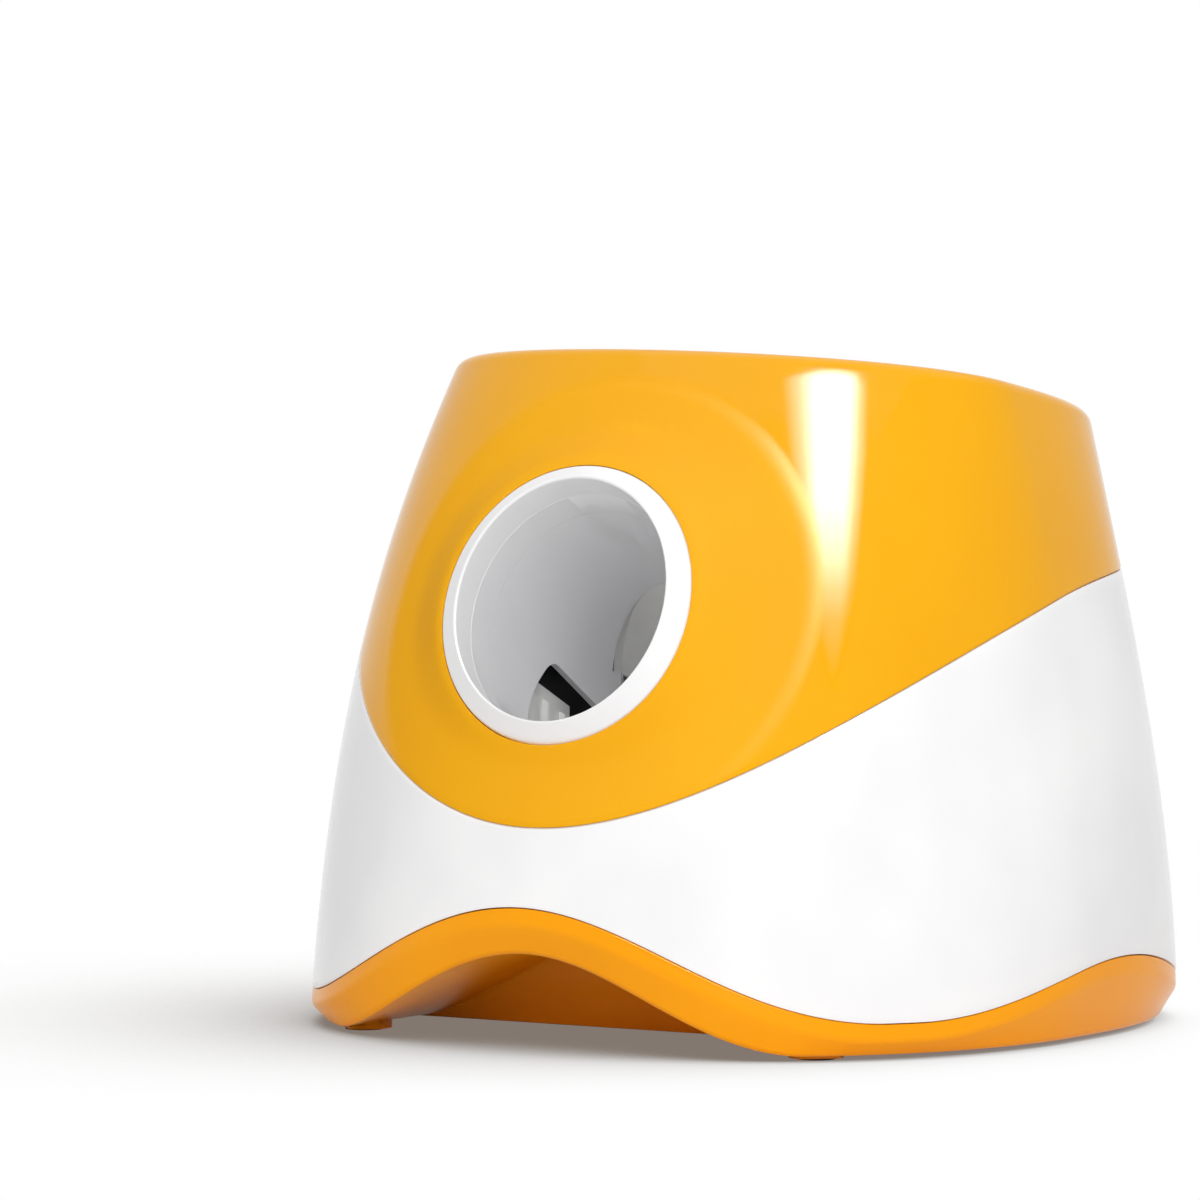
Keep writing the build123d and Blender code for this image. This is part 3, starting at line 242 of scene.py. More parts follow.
def steel(name, first, second, stretch, rough=(0.22, 0.34)):
    """Ground, drawn or plated metal: lines that stretch highlights along one axis. Real scratches
    are about 0.02 mm, too fine to show, so they are drawn 0.6 mm apart."""
    material, tree, shader = finish_shader(name, {"Metallic": 1.0})
    place = add_node(tree, "ShaderNodeTexCoord")
    lie = add_node(tree, "ShaderNodeMapping", {"Scale": stretch}, {"Vector": (place, "Object")})
    lines = noise(tree, 0.6, 3.0, (lie, "Vector"))
    emboss(tree, shader, lines, 0.5, 0.01)
    vary_gloss(tree, shader, lines, rough)
    tint(tree, shader, first, second, 8)
    return material


def clear_pipe(name, colour):
    """Moulded polycarbonate light guide: clear, with a faint green depth and a soft bright rim."""
    material, tree, shader = finish_shader(name, {"IOR": 1.58, "Transmission Weight": 0.85,
                                                  "Base Color": linear(colour)})
    roughen(tree, shader, 2, 0.004, (0.12, 0.2))
    return material


def laminate(name, first, second):
    """Solder-masked circuit board: glossy lacquer with paler copper runs every 6 mm under it."""
    first, second = linear(first), linear(second)
    material, tree, shader = finish_shader(name, {"IOR": 1.5, "Coat Weight": 0.4, "Coat Roughness": 0.1})
    place = add_node(tree, "ShaderNodeTexCoord")
    runs = add_node(tree, "ShaderNodeTexBrick", {"Scale": per_metre(6), "Mortar Size": 0.06, "Color1": first,
                                                 "Color2": first, "Mortar": second},
                    {"Vector": (place, "Object")})
    tree.links.new(runs.outputs["Color"], shader.inputs["Base Color"])
    roughen(tree, shader, 0.8, 0.01, (0.3, 0.4))
    return material


finishes = {}


def make_finishes(colours):
    """One material for each of the record's slots, named for what it is."""
    finishes.update({
        # Outer mouldings: the shells mirror a lamp sharply, the base and ring only softly.
        "orange_gloss": blend_gloss(gloss_abs("polished orange ABS", colours.orange, colours.orange_deep,
                                              (0.04, 0.07), 0.15), MUZZLE, 74.0, 82.0, 0.8),
        "orange_base": gloss_abs("ground-tool orange ABS", colours.base, colours.base_deep,
                                 (0.2, 0.27), 0.15),
        "white_gloss": gloss_abs("polished white ABS", colours.white, colours.white_cool, (0.12, 0.18), 0.3),
        "ring_white": gloss_abs("ground-tool white ABS", "#F4F4F4", "#EFEFF0", (0.22, 0.3)),
        # The barrel's wall is slick, so its far side shows long grey reflections.
        "tube_grey": gloss_abs("polished pale grey ABS", "#ECECED", "#E7E7E9", (0.1, 0.15)),
        # Grained mouldings: the bowl is rubbed smoother by balls than the hidden chassis.
        "hopper_white": satin_abs("spark-textured white ABS", "#EDECEA", "#E6E6E4", (0.25, 0.34)),
        "chassis_white": satin_abs("spark-textured chassis ABS", "#E2E2E0", "#D9DAD9"),
        "panel_grey": satin_abs("spark-textured grey ABS", "#3C3D40", "#333437"),
        "box_black": satin_abs("spark-textured black ABS", "#242427", "#1C1C1F"),
        "motor_cap": satin_abs("moulded black nylon", "#232326", "#1B1B1E"),
        "striker_nylon": satin_abs("glass-filled nylon", "#37373A", "#2D2D30"),
        "inlet_black": satin_abs("moulded inlet nylon", "#1F1F21", "#17171A"),
        "sensor_black": satin_abs("moulded sensor ABS", "#252528", "#1D1D20"),
        "chip_black": satin_abs("moulded epoxy", "#202022", "#18181A"),
        # Small shiny mouldings: a soft spot of light on each key and a long one on each cell.
        "button_white": gloss_abs("polished key ABS", "#EDEDEB", "#E4E4E2", (0.16, 0.2)),
        "cell_jacket": gloss_abs("plain shrunk cell jacket", "#3B3F45", "#33373D", (0.2, 0.26)),
        # Rubber and foam swallow the light, so feet and striker face stay dark and flat.
        "pad_rubber": rubber("pressed black rubber", "#2B2B2B", "#232324"),
        "stop_rubber": rubber("pressed dark rubber", "#303032", "#28282A"),
        "striker_foam": rubber("closed-cell foam", "#45454A", "#3B3B40"),
        # Acetal looks waxy beside the ABS, with softer edges.
        "bush_acetal": acetal("turned white acetal", "#E3E1D8", "#DAD8CE"),
        "gear_acetal": acetal("moulded natural acetal", "#ECEADF", "#E2DFD2"),
        # Metals differ in warmth: blue-grey zinc, yellow nickel, golden brass.
        "shaft_steel": steel("ground steel", "#C4C5C7", "#B4B6B8", (0.05, 1, 1)),
        "spring_steel": steel("drawn spring steel", "#A9AAAD", "#97999C", (1, 1, 1)),
        "pinion_brass": steel("hobbed brass", "#C9A55A", "#B8934A", (0.05, 1, 1)),
        "motor_can": steel("drawn zinc-plated steel", "#B9BABC", "#A8AAAD", (1, 1, 1), (0.3, 0.42)),
        "contact_nickel": steel("nickel-plated steel", "#CFCBC2", "#BDB9B0", (1, 1, 1)),
        "screw_steel": steel("zinc-plated screw steel", "#B5B6B8", "#9FA1A4", (1, 1, 1)),
        # The light pipes look wet and glassy, the board glossy with copper runs under the green.
        "light_pipe": clear_pipe("moulded clear polycarbonate", "#DDF2DF"),
        "board_green": laminate("solder-masked laminate", "#1D5B38", "#2F7A4C"),
    })


# ---- body form ----------------------------------------------------------------
def swell(foot, top, bulge, ease, t):
    """Half size of a body section at a share t of the form height."""
    return foot + (top - foot) * t + 4 * bulge * t * (1 - t) + 10 * ease * t * (1 - t) * (1 - 2 * t)


def body_point(angle, height, inset=0.0):
    """Point of the egg form; angle 0 is the front and turns towards +X."""
    t = height / FORM_HEIGHT
    across, along = math.sin(angle), -math.cos(angle)
    power = 2 / (FRONT_POWER if along < 0 else REAR_POWER)
    half = swell(*HALF_WIDTH, t) - inset
    depth = swell(*(FRONT_DEPTH if along < 0 else REAR_DEPTH), t) - inset
    x = half * math.copysign(abs(across) ** power, across)
    y = FOOT_CENTRE + CENTRE_DRIFT * t + depth * math.copysign(abs(along) ** power, along)
    return Vector((x, y, height))


def settle(angle, height_at, inset=0.0, start=60.0):
    """Point of the form where its height is what height_at says for that point."""
    point = body_point(angle, start, inset)
    for _ in range(14):
        point = body_point(angle, height_at(point), inset)
    return point


def natural_spline(knots):
    """Heights of a smooth curve through (y, z) knots, as a function of y."""
    count = len(knots)
    ys = [k[0] for k in knots]
    zs = [k[1] for k in knots]
    upper, right = [0.0] * count, [0.0] * count
    for i in range(1, count - 1):
        left, ahead = ys[i] - ys[i - 1], ys[i + 1] - ys[i]
        pivot = 2 * (left + ahead) - left * upper[i - 1]
        upper[i] = ahead / pivot
        bend = 6 * ((zs[i + 1] - zs[i]) / ahead - (zs[i] - zs[i - 1]) / left)
        right[i] = (bend - left * right[i - 1]) / pivot
    curve = [0.0] * count
    for i in range(count - 2, 0, -1):
        curve[i] = right[i] - upper[i] * curve[i + 1]

    def height(y):
        i = max(0, min(count - 2, sum(1 for k in ys[1:-1] if k <= y)))
        step = ys[i + 1] - ys[i]
        a, b = (ys[i + 1] - y) / step, (y - ys[i]) / step
        lift_up = (a ** 3 - a) * curve[i] + (b ** 3 - b) * curve[i + 1]
        return a * zs[i] + b * zs[i + 1] + lift_up * step * step / 6

    return height


colour_height = natural_spline(COLOUR_SEAM)


def lift(share):
    """Height of an arch of unit rise at a share of its half width."""
    return (0.5 + 0.5 * math.cos(math.pi * share)) ** 0.85 if abs(share) < 1 else 0.0


def seam_height(p):
    """Height of the base's seam."""
    heights = [BASE_SEAM_LOW + 14.0 * lift((p.y - 17.0) / 88.0)]
    if p.y < -27.5:
        heights.append(BASE_SEAM_LOW + 33.0 * lift(p.x / 104.0))
    if p.y > 60.0:
        heights.append(BASE_SEAM_LOW + 14.0 * lift(p.x / 84.0))
    return max(heights)


def edge_height(p):
    """Height of the skirt's lower edge, which follows the vault in front."""
    return FLOOR_UNDER + (28.5 * lift(p.x / 84.0) if p.y < 0 else 0.0)


def deck_height(p):
    """Height of the sloping top face."""
    return DECK_HEIGHT - DECK_SLOPE * p.y


def smooth_max(a, b, blend):
    """Larger of two heights, with a soft valley between them."""
    gap = max(0.0, 1 - abs(a - b) / blend)
    return max(a, b) + 0.25 * blend * gap * gap


def swollen(p):
    """Body point pushed out to the swelling that carries the muzzle ring."""
    offset = p - MUZZLE
    height = offset.dot(RING_OUT)
    flat = offset - height * RING_OUT
    if p.y > SWELL_BACK or flat.length > SWELL_REACH:
        return p
    land = RING_RADIUS + 1.5
    run = max(0.0, flat.length - land)
    cone = -0.3 - 0.62 * run - 0.02 * run * run
    return MUZZLE + flat + smooth_max(height, cone, 5.0) * RING_OUT


# ---- mesh tools -------------------------------------------------------------
def turns(count=COLUMNS):
    """Even angles round a full turn."""
    return [2 * math.pi * i / count for i in range(count)]


def stitch(work, loops, close=False, caps=False):
    """Quads between rings of equal length; close joins the last to the first, caps fills both ends."""
    rows = [[work.verts.new(p * MM) for p in loop] for loop in loops]
    pairs = list(zip(rows, rows[1:])) + ([(rows[-1], rows[0])] if close else [])
    for low, high in pairs:
        count = len(low)
        for i in range(count):
            j = (i + 1) % count
            work.faces.new((low[i], low[j], high[j], high[i]))
    if caps:
        work.faces.new(rows[0])
        work.faces.new(rows[-1])


def add_object(name, data):
    """New object in the scene."""
    made = bpy.data.objects.new(name, data)
    bpy.context.scene.collection.objects.link(made)
    return made


def mesh_object(name, build, closed=True):
    """Mesh object made by build(bmesh), its faces turned outwards if it is closed."""
    work = bmesh.new()
    build(work)
    if closed:
        bmesh.ops.recalc_face_normals(work, faces=work.faces)
    mesh = bpy.data.meshes.new(name)
    work.to_mesh(mesh)
    work.free()
    return add_object(name, mesh)


def hollow_object(name, columns):
    """Closed hollow mesh object from columns set round an axis, each running along both its skins."""
    return mesh_object(name, lambda work: stitch(work, zip(*columns), close=True))


def carve(piece, *cutters, operation="DIFFERENCE"):
    """Cut a piece with other meshes and keep its mesh with all its modifiers applied."""
    for cutter in cutters:
        cut = piece.modifiers.new("cut", "BOOLEAN")
        cut.object, cut.operation, cut.solver = cutter, operation, "EXACT"
    bpy.context.view_layer.update()
    made = bpy.data.meshes.new_from_object(piece.evaluated_get(bpy.context.evaluated_depsgraph_get()))
    piece.modifiers.clear()
    piece.data = made
    for cutter in cutters:
        bpy.data.objects.remove(cutter)
    return piece


def weld(mesh):
    """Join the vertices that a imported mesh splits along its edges."""
    work = bmesh.new()
    work.from_mesh(mesh)
    bmesh.ops.remove_doubles(work, verts=work.verts, dist=0.5e-6)
    work.to_mesh(mesh)
    work.free()


def rod(name, start, end, radius, sides=160):
    """Closed straight rod square to the object's width, used for cutting."""
    other = (end - start).normalized().cross(RIGHT).normalized()
    rims = [[place + radius * (math.cos(a) * RIGHT + math.sin(a) * other) for a in turns(sides)]
            for place in (start, end)]
    return mesh_object(name, lambda work: stitch(work, rims, caps=True))


def settle_piece(piece, finish, replaced=(), body="housing", smooth_angle=35.0):
    """Give a finished mesh its material, slot and body, and hide the nodes it stands for."""
    piece.data.materials.clear()
    piece.data.materials.append(finishes[finish])
    piece.data.shade_smooth()
    piece.data.set_sharp_from_angle(angle=math.radians(smooth_angle))
    if replaced:
        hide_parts(*replaced)
    if body:
        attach(piece, body)
    return piece


def revolved(name, profile, origin, out, sides=160):
    """Closed turned shape: profile holds (radius, height along out) points."""
    other = out.cross(RIGHT)
    loops = [[origin + r * (math.cos(a) * RIGHT + math.sin(a) * other) + h * out for a in turns(sides)]
             for r, h in profile]
    return mesh_object(name, lambda work: stitch(work, loops, close=True))


def rounded(profile, radius, steps=4, skip=()):
    """Profile with its corners rounded, each by radius or half its shorter side."""
    points = [Vector(p) for p in profile]
    count = len(points)
    done = []
    for i, p in enumerate(points):
        before, after = points[i - 1] - p, points[(i + 1) % count] - p
        bend = before.angle(after)
        if i in skip or bend > math.radians(176):
            done.append(tuple(p))
            continue
        reach = min(radius / math.tan(bend / 2), 0.45 * before.length, 0.45 * after.length)
        a, b = p + before.normalized() * reach, p + after.normalized() * reach
        for k in range(steps + 1):
            t = k / steps
            done.append(tuple((1 - t) ** 2 * a + 2 * t * (1 - t) * p + t * t * b))
    return done


def barrel_point(turn, height, radius=BORE):
    """Point on the barrel's wall at a height over the ring's plane."""
    rim = MUZZLE + radius * (math.cos(turn) * RIGHT + math.sin(turn) * BARREL_UP)
    along = (height - (rim - MUZZLE).dot(RING_OUT)) / BARREL_DOWN.dot(RING_OUT)
    return rim + along * BARREL_DOWN


def deck_point(y, right=0.0, back=0.0, drop=0.0):
    """Point on the top face's plane at y, moved right and back along it and sunk."""
    return Vector((right, y, DECK_HEIGHT - DECK_SLOPE * y)) + back * DECK_BACK - drop * DECK_OUT


def dress(*names):
    """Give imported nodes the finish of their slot."""
    for name in names:
        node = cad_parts[name]
        slot = node.data.materials[0].name.split(".")[0]
        node.data.materials.clear()
        node.data.materials.append(finishes[slot])
        node.data.shade_smooth()


# ---- sizes and colours a user would change -----------------------------------
def colour_prop(name, description, code):
    """Colour with an sRGB hex default."""
    return bpy.props.FloatVectorProperty(name=name, description=description, subtype="COLOR", size=4,
                                         min=0, max=1, default=linear(code))


def length_prop(name, description, default, low, high):
    """Length whose default and limits are given in millimetres."""
    return bpy.props.FloatProperty(name=name, description=description, unit="LENGTH", precision=5,
                                   default=default * MM, min=low * MM, max=high * MM)


class LauncherColours(bpy.types.PropertyGroup):
    """Colours of the outer mouldings"""

    orange: colour_prop("Shell", "Upper shell", "#F4AE00")
    orange_deep: colour_prop("Shell shade", "Second tone of the upper shell", "#F1AA00")
    base: colour_prop("Base", "Base moulding", "#FCA400")
    base_deep: colour_prop("Base shade", "Second tone of the base", "#F99F00")
    white: colour_prop("Lower shell", "Lower shell", "#F8F8F8")
    white_cool: colour_prop("Lower shell shade", "Second tone of the lower shell", "#F0F0F1")


class LauncherSizes(bpy.types.PropertyGroup):
    """Sizes of the finer shapes"""

    rim: length_prop("Rim", "Radius between the sides and the top", 5.5, 3.0, 7.0)
    lip: length_prop("Ring lip", "How far the muzzle's lip stands out", 4.3, 2.0, 5.0)
    wire: length_prop("Spring wire", "Diameter of the spring wire", 1.1, 0.6, 1.6)
    edge: length_prop("Skirt edge", "Radius under the skirt's lower edge", 2.2, 0.8, 2.6)


class PieceOperator(bpy.types.Operator):
    """What the launcher's operators share"""

    bl_options = {"REGISTER", "UNDO"}


class LAUNCHER_OT_finishes(PieceOperator):
    """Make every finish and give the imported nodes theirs"""

    bl_idname = "launcher.finishes"
    bl_label = "Finishes"

    def execute(self, context):
        make_finishes(context.scene.launcher_colours)
        dress(*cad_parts)
        return {"FINISHED"}


# ---- shells -------------------------------------------------------------------
def arc(a, corner, b, steps=8):
    """Circular arc from a to b, tangent at both to the lines through the corner."""
    half = (a - corner).angle(b - corner) / 2
    weight = math.sin(half)
    points = []
    for k in range(steps + 1):
        t = k / steps
        shares = ((1 - t) ** 2, 2 * t * (1 - t) * weight, t * t)
        points.append((shares[0] * a + shares[1] * corner + shares[2] * b) / sum(shares))
    return points


def top_columns(inset, drop, radius, seat, low, rows=64):
    """Columns from the colour seam up the side, over the rim and along the top to a circle round the bowl."""
    centre = deck_point(HOPPER_Y, drop=drop)
    angles = turns()
    tops = [settle(a, lambda p: deck_height(p) - drop / DECK_OUT.z, inset, 200.0) for a in angles]
    columns = []
    for i, angle in enumerate(angles):
        top = tops[i]
        edge = (tops[(i + 1) % COLUMNS] - tops[i - 1]).normalized()
        inward = DECK_OUT.cross(edge).normalized()
        if inward.dot(centre - top) < 0:
            inward = -inward
        down = (body_point(angle, top.z - radius, inset) - top).normalized()
        reach = radius / math.tan(down.angle(inward) / 2)
        start = body_point(angle, top.z - reach * abs(down.z), inset)
        bend = arc(start, top, top + reach * inward)
        foot = settle(angle, lambda p: colour_height(p.y), inset, 100.0)
        column = low(angle, foot)
        first = column[-1].z if column else foot.z
        for k in range(1 if column else 0, rows):
            column.append(body_point(angle, first + (start.z - 0.4 - first) * k / (rows - 1), inset))
        column += bend
        outwards = bend[-1] - centre
        flat = (outwards - outwards.dot(DECK_OUT) * DECK_OUT).normalized()
        goal = centre + seat * flat
        run = goal - bend[-1]
        column.append(bend[-1] + 0.4 * run.normalized())
        column += [bend[-1] + run * share for share in (0.2, 0.4, 0.6, 0.8, 1.0)]
        columns.append(column)
    return columns


def eased_edge(angle, point, direction):
    """Three points that ease a moulding's outer edge at a seam, going away from it."""
    steps = ((0.45, 0.0), (0.13, 0.13), (0.0, 0.45))
    return [body_point(angle, point.z + direction * rise, sink) for sink, rise in steps]


class LAUNCHER_OT_upper_shell(PieceOperator):
    """Orange upper shell with its rounded rim, bowl seat, panel slot and the swelling round the muzzle"""

    bl_idname = "launcher.upper_shell"
    bl_label = "Upper shell"

    def execute(self, context):
        rim = context.scene.launcher_sizes.rim / MM
        outside = top_columns(0.0, 0.0, rim, SEAT, lambda angle, foot: eased_edge(angle, foot, 1))
        inside = top_columns(WALL, DECK_WALL, rim - WALL, BOWL_HOLE, lambda angle, foot: [])
        columns = []
        for out, into in zip(outside, inside):
            out = [swollen(p) if p.z < 195 else p for p in out]
            flat = (into[-1] - deck_point(HOPPER_Y, drop=DECK_WALL)).normalized()
            ledge = [deck_point(HOPPER_Y, drop=SEAT_DEPTH) + r * flat for r in (SEAT, BOWL_HOLE)]
            columns.append(out + ledge + into[::-1])
        shell = hollow_object("shell_upper", columns)
        hole = rod("hole", MUZZLE + 20 * RING_OUT, MUZZLE - 20 * RING_OUT, RING_RADIUS + 0.2)
        pocket = slot_cutter(92.4, 16.4, 2.0)
        window = slot_cutter(86.0, 13.4, 8.0)
        settle_piece(carve(shell, hole, pocket, window), "orange_gloss", ["upper_shell"])
        return {"FINISHED"}


def slot_cutter(length, width, depth):
    """Round-ended slot in the top face round the control panel."""
    half, radius = (length - width) / 2, width / 2
    outline = []
    for i in range(48):
        a = 2 * math.pi * (i + 0.5) / 48
        outline.append(deck_point(PANEL_Y, math.copysign(half, math.cos(a)) + radius * math.cos(a),
                                  radius * math.sin(a), -2.0))
    push = -(depth + 2.0) * DECK_OUT
    return mesh_object("slot", lambda work: stitch(work, [outline, [p + push for p in outline]], caps=True))


class LAUNCHER_OT_lower_shell(PieceOperator):
    """White lower shell between the two seams"""

    bl_idname = "launcher.lower_shell"
    bl_label = "Lower shell"

    def execute(self, context):
        columns = []
        rows = 48
        for angle in turns():
            high, inner_high = (settle(angle, lambda p: colour_height(p.y) - SEAM_GAP, inset, 100.0)
                                for inset in (0.0, WALL))
            low, inner_low = (settle(angle, lambda p: seam_height(p) + SEAM_GAP, inset, 20.0)
                              for inset in (0.0, WALL))
            top, foot = eased_edge(angle, high, -1), eased_edge(angle, low, 1)
            step = (foot[-1].z - top[-1].z) / (rows - 1)
            side = [body_point(angle, top[-1].z + step * k) for k in range(1, rows - 1)]
            out = [swollen(p) for p in top + side + foot[::-1]]
            step = (inner_high.z - inner_low.z) / (rows - 1)
            columns.append(out + [body_point(angle, inner_low.z + step * k, WALL) for k in range(rows)])
        shell = hollow_object("shell_lower", columns)
        jack = rod("jack", Vector((0, 90, JACK_HEIGHT)), Vector((0, 140, JACK_HEIGHT)), JACK_RADIUS, 64)
        settle_piece(carve(shell, jack), "white_gloss", ["lower_shell"])
        return {"FINISHED"}


class LAUNCHER_OT_base(PieceOperator):
    """Orange base whose skirt has a soft crease under the seam and a rounded lower edge"""

    bl_idname = "launcher.base"
    bl_label = "Base"

    skin = 0.3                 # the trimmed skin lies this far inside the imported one

    def column(self, angle, edge):
        """Side of the base at one angle, from above its seam to under its edge."""
        seam = settle(angle, seam_height, self.skin, 20.0)
        crease = settle(angle, lambda p: seam_height(p) - SKIRT_BAND, self.skin, 15.0)
        foot = settle(angle, edge_height, SKIRT_TAPER + self.skin, 5.0)
        back = settle(angle, edge_height, SKIRT_TAPER + self.skin + 6, 5.0)
        inward = (Vector((back.x, back.y, foot.z)) - foot).normalized()
        up = (crease - foot).normalized()
        reach = min(edge / math.tan(up.angle(inward) / 2), 0.45 * (crease - foot).length)
        over = min(1.3, 0.3 * (crease - foot).length)
        flush = (seam - crease).normalized()
        column = [Vector((seam.x, seam.y, 70.0)), body_point(angle, seam.z + 1.0, self.skin)]
        column += [body_point(angle, seam.z - fall, self.skin + sink)
                   for fall, sink in ((0, 0.4), (0.15, 0.12), (0.5, 0))]
        column += arc(crease + over * flush, crease, crease - over * up, 5)
        side = foot + reach * up - crease + over * up
        column += [crease - over * up + side * k / 6 for k in (0.4, 2, 3, 4, 5.7)]
        column += arc(foot + reach * up, foot, foot + reach * inward, 6)
        last = foot + (reach + 2.5) * inward
        return column + [last, Vector((last.x, last.y, -6.0))]

    def execute(self, context):
        edge = context.scene.launcher_sizes.edge / MM
        columns = [self.column(a, edge) for a in turns()]
        trim = mesh_object("trim", lambda work: stitch(work, zip(*columns), caps=True))
        piece = add_object("base_skirted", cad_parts["base_pan"].data.copy())
        weld(piece.data)
        carve(piece, trim, operation="INTERSECT")
        settle_piece(piece, "orange_base", ["base_pan"], smooth_angle=25.0)
        flats = piece.modifiers.new("flats", "WEIGHTED_NORMAL")
        flats.keep_sharp = True
        return {"FINISHED"}


# ---- muzzle, hopper -------------------------------------------------------------
class LAUNCHER_OT_ring(PieceOperator):
    """White muzzle ring: a shallow cone that rises to a rounded lip on the bore"""

    bl_idname = "launcher.ring"
    bl_label = "Muzzle ring"

    def execute(self, context):
        lip = context.scene.launcher_sizes.lip / MM

        def face(turn, radius, height):
            """Point over the ring's plane."""
            return MUZZLE + radius * (math.cos(turn) * RIGHT + math.sin(turn) * RING_UP) + height * RING_OUT

        columns, liner = [], []
        for turn in turns(192):
            outer, inner = face(turn, RING_RADIUS, 0.0), barrel_point(turn, lip)
            slope = (inner - outer).normalized()
            wall = barrel_point(turn, lip - 3)
            flange = RING_RADIUS + 3.5
            column = [face(turn, flange, -RING_DEPTH), face(turn, flange, 2 - RING_DEPTH)]
            column += [face(turn, RING_RADIUS, 2 - RING_DEPTH), face(turn, RING_RADIUS, -3.0)]
            column += arc(face(turn, RING_RADIUS, -0.9), outer, outer + 0.9 * slope, 5)
            down = (wall - inner).normalized()
            column += [outer + (inner - outer) * share for share in (0.25, 0.5, 0.75)]
            column += arc(inner - 1.1 * slope, inner, inner + 1.1 * down, 6)
            column += [barrel_point(turn, h) for h in (lip - 2.2, 0.0, -3.0, -LINER_DEPTH)]
            column += [barrel_point(turn, h, radius=BORE + 1.6) for h in (-LINER_DEPTH, -RING_DEPTH)]
            columns.append(column)
            start, end = -LINER_DEPTH - 0.15, -RING_DEPTH - 0.1
            sleeve = [barrel_point(turn, end), barrel_point(turn, start - 0.35)]
            sleeve += [barrel_point(turn, start, radius=BORE + 0.3)]
            sleeve += [barrel_point(turn, h, radius=BORE + 1.5) for h in (start, end)]
            liner.append(sleeve)
        settle_piece(hollow_object("muzzle_ring", columns), "ring_white", ["launch_ring"])
        settle_piece(hollow_object("muzzle_liner", liner), "tube_grey")
        return {"FINISHED"}


class LAUNCHER_OT_hopper(PieceOperator):
    """Ball bowl with a rolled flange and a neck that ends on the barrel"""

    bl_idname = "launcher.hopper"
    bl_label = "Hopper"

    def execute(self, context):
        # Radius and height along the bowl's axis, from the flange's edge down the outside and back.
        profile = [(59.0, 0.0), (59.0, -1.25), (54.0, -1.25), (54.0, -2.5), (38.5, -30.5), (38.5, -95.0),
                   (36.0, -95.0), (36.0, -28.0), (51.5, -2.5), (52.6, 0.0)]
        profile = rounded(profile, 1.0, skip=(1, 2, 5, 6))
        bowl = revolved("ball_bowl", profile, deck_point(HOPPER_Y), DECK_OUT)
        barrel = rod("barrel", MUZZLE, MUZZLE + (TUBE_LENGTH + 40) * BARREL_DOWN, BORE + TUBE_WALL + 0.5)
        settle_piece(carve(bowl, barrel), "hopper_white", ["hopper"])
        return {"FINISHED"}


class LAUNCHER_OT_window(PieceOperator):
    """Ribbed ball guide, and a black sheet behind the window low in the barrel's left side that paints the
    shade inside the housing
    """

    bl_idname = "launcher.window"
    bl_label = "Barrel window"

    ribs = ((-57.0, -50.6), (-46.4, -43.8), (-37.0, -33.4))
    foot = 85.0
    rib_drop = 4.0             # the ribs end this far under the guide's crest

    def block(self, work, x_low, x_high, outline, bevel=0.0):
        """Prism across the object over a (y, z) outline; its top falls by bevel towards the barrel."""
        low = [Vector((x_low, y, z)) for y, z in outline]
        high = [Vector((x_high, y, z - (bevel if z > 90 else 0))) for y, z in outline]
        stitch(work, [low, high], caps=True)

    def execute(self, context):
        foot = self.foot

        def crest(y, drop=0.0):
            """Point on the guide's sloping top."""
            return (y, 107.4 - 0.472 * (y + 50.7) - drop)

        def guide(work):
            self.block(work, -45.5, -41.8, [(-60, foot), (-31, foot), crest(-31), crest(-60)])
            for start, end in self.ribs:
                top = [crest(end, self.rib_drop), crest(start, self.rib_drop)]
                self.block(work, -42.0, -40.1, [(start, foot), (end, foot), *top], 0.7)

        piece = mesh_object("ball_guide", guide)
        ease = piece.modifiers.new("ease", "BEVEL")
        ease.width, ease.segments, ease.limit_method = 0.35 * MM, 2, "ANGLE"
        settle_piece(carve(piece), "hopper_white")
        # Painted shade: a black sheet laid on the lit white chassis plate, so the housing's inside looks dark
        # through the window.
        back = mesh_object("window_painted_shade", lambda work: self.block(
            work, -51.6, -50.6, [(-68, 84), (4, 84), (4, 108), (-40, 114), (-58, 114), (-68, 106)]))
        settle_piece(back, "sensor_black")
        return {"FINISHED"}


# ---- springs ------------------------------------------------------------------
class LAUNCHER_OT_springs(PieceOperator):
    """Two close-wound extension springs that stretch from their anchors to the striker"""

    bl_idname = "launcher.springs"
    bl_label = "Power springs"

    near, far = 145.0, 89.0    # ends, measured down the barrel from the muzzle
    aside, over = 46.3, 35.0   # to the side of the barrel's axis, and over it
    radius = 3.4

    def execute(self, context):
        wire = context.scene.launcher_sizes.wire / MM
        near, far, aside, over = self.near, self.far, self.aside, self.over
        coil = self.radius - wire / 2
        rounds, per_round, sides = 40, 20, 8

        def build(work):
            for side in (-aside, aside):
                rings = []
                for i in range(rounds * per_round + 1):
                    a = 2 * math.pi * i / per_round
                    along = near - 0.6 + (far - near + 1.2) * i / (rounds * per_round)
                    middle = MUZZLE + side * RIGHT + over * BARREL_UP + along * BARREL_DOWN
                    out = math.cos(a) * RIGHT + math.sin(a) * BARREL_UP
                    rings.append([middle + out * (coil + wire / 2 * math.cos(b))
                                  - wire / 2 * math.sin(b) * BARREL_DOWN for b in turns(sides)])
                stitch(work, rings, caps=True)

        coils = mesh_object("spring_coils", build)
        settle_piece(coils, "spring_steel", ["power_springs"], None, 60.0)
        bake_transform(coils)
        return {"FINISHED"}


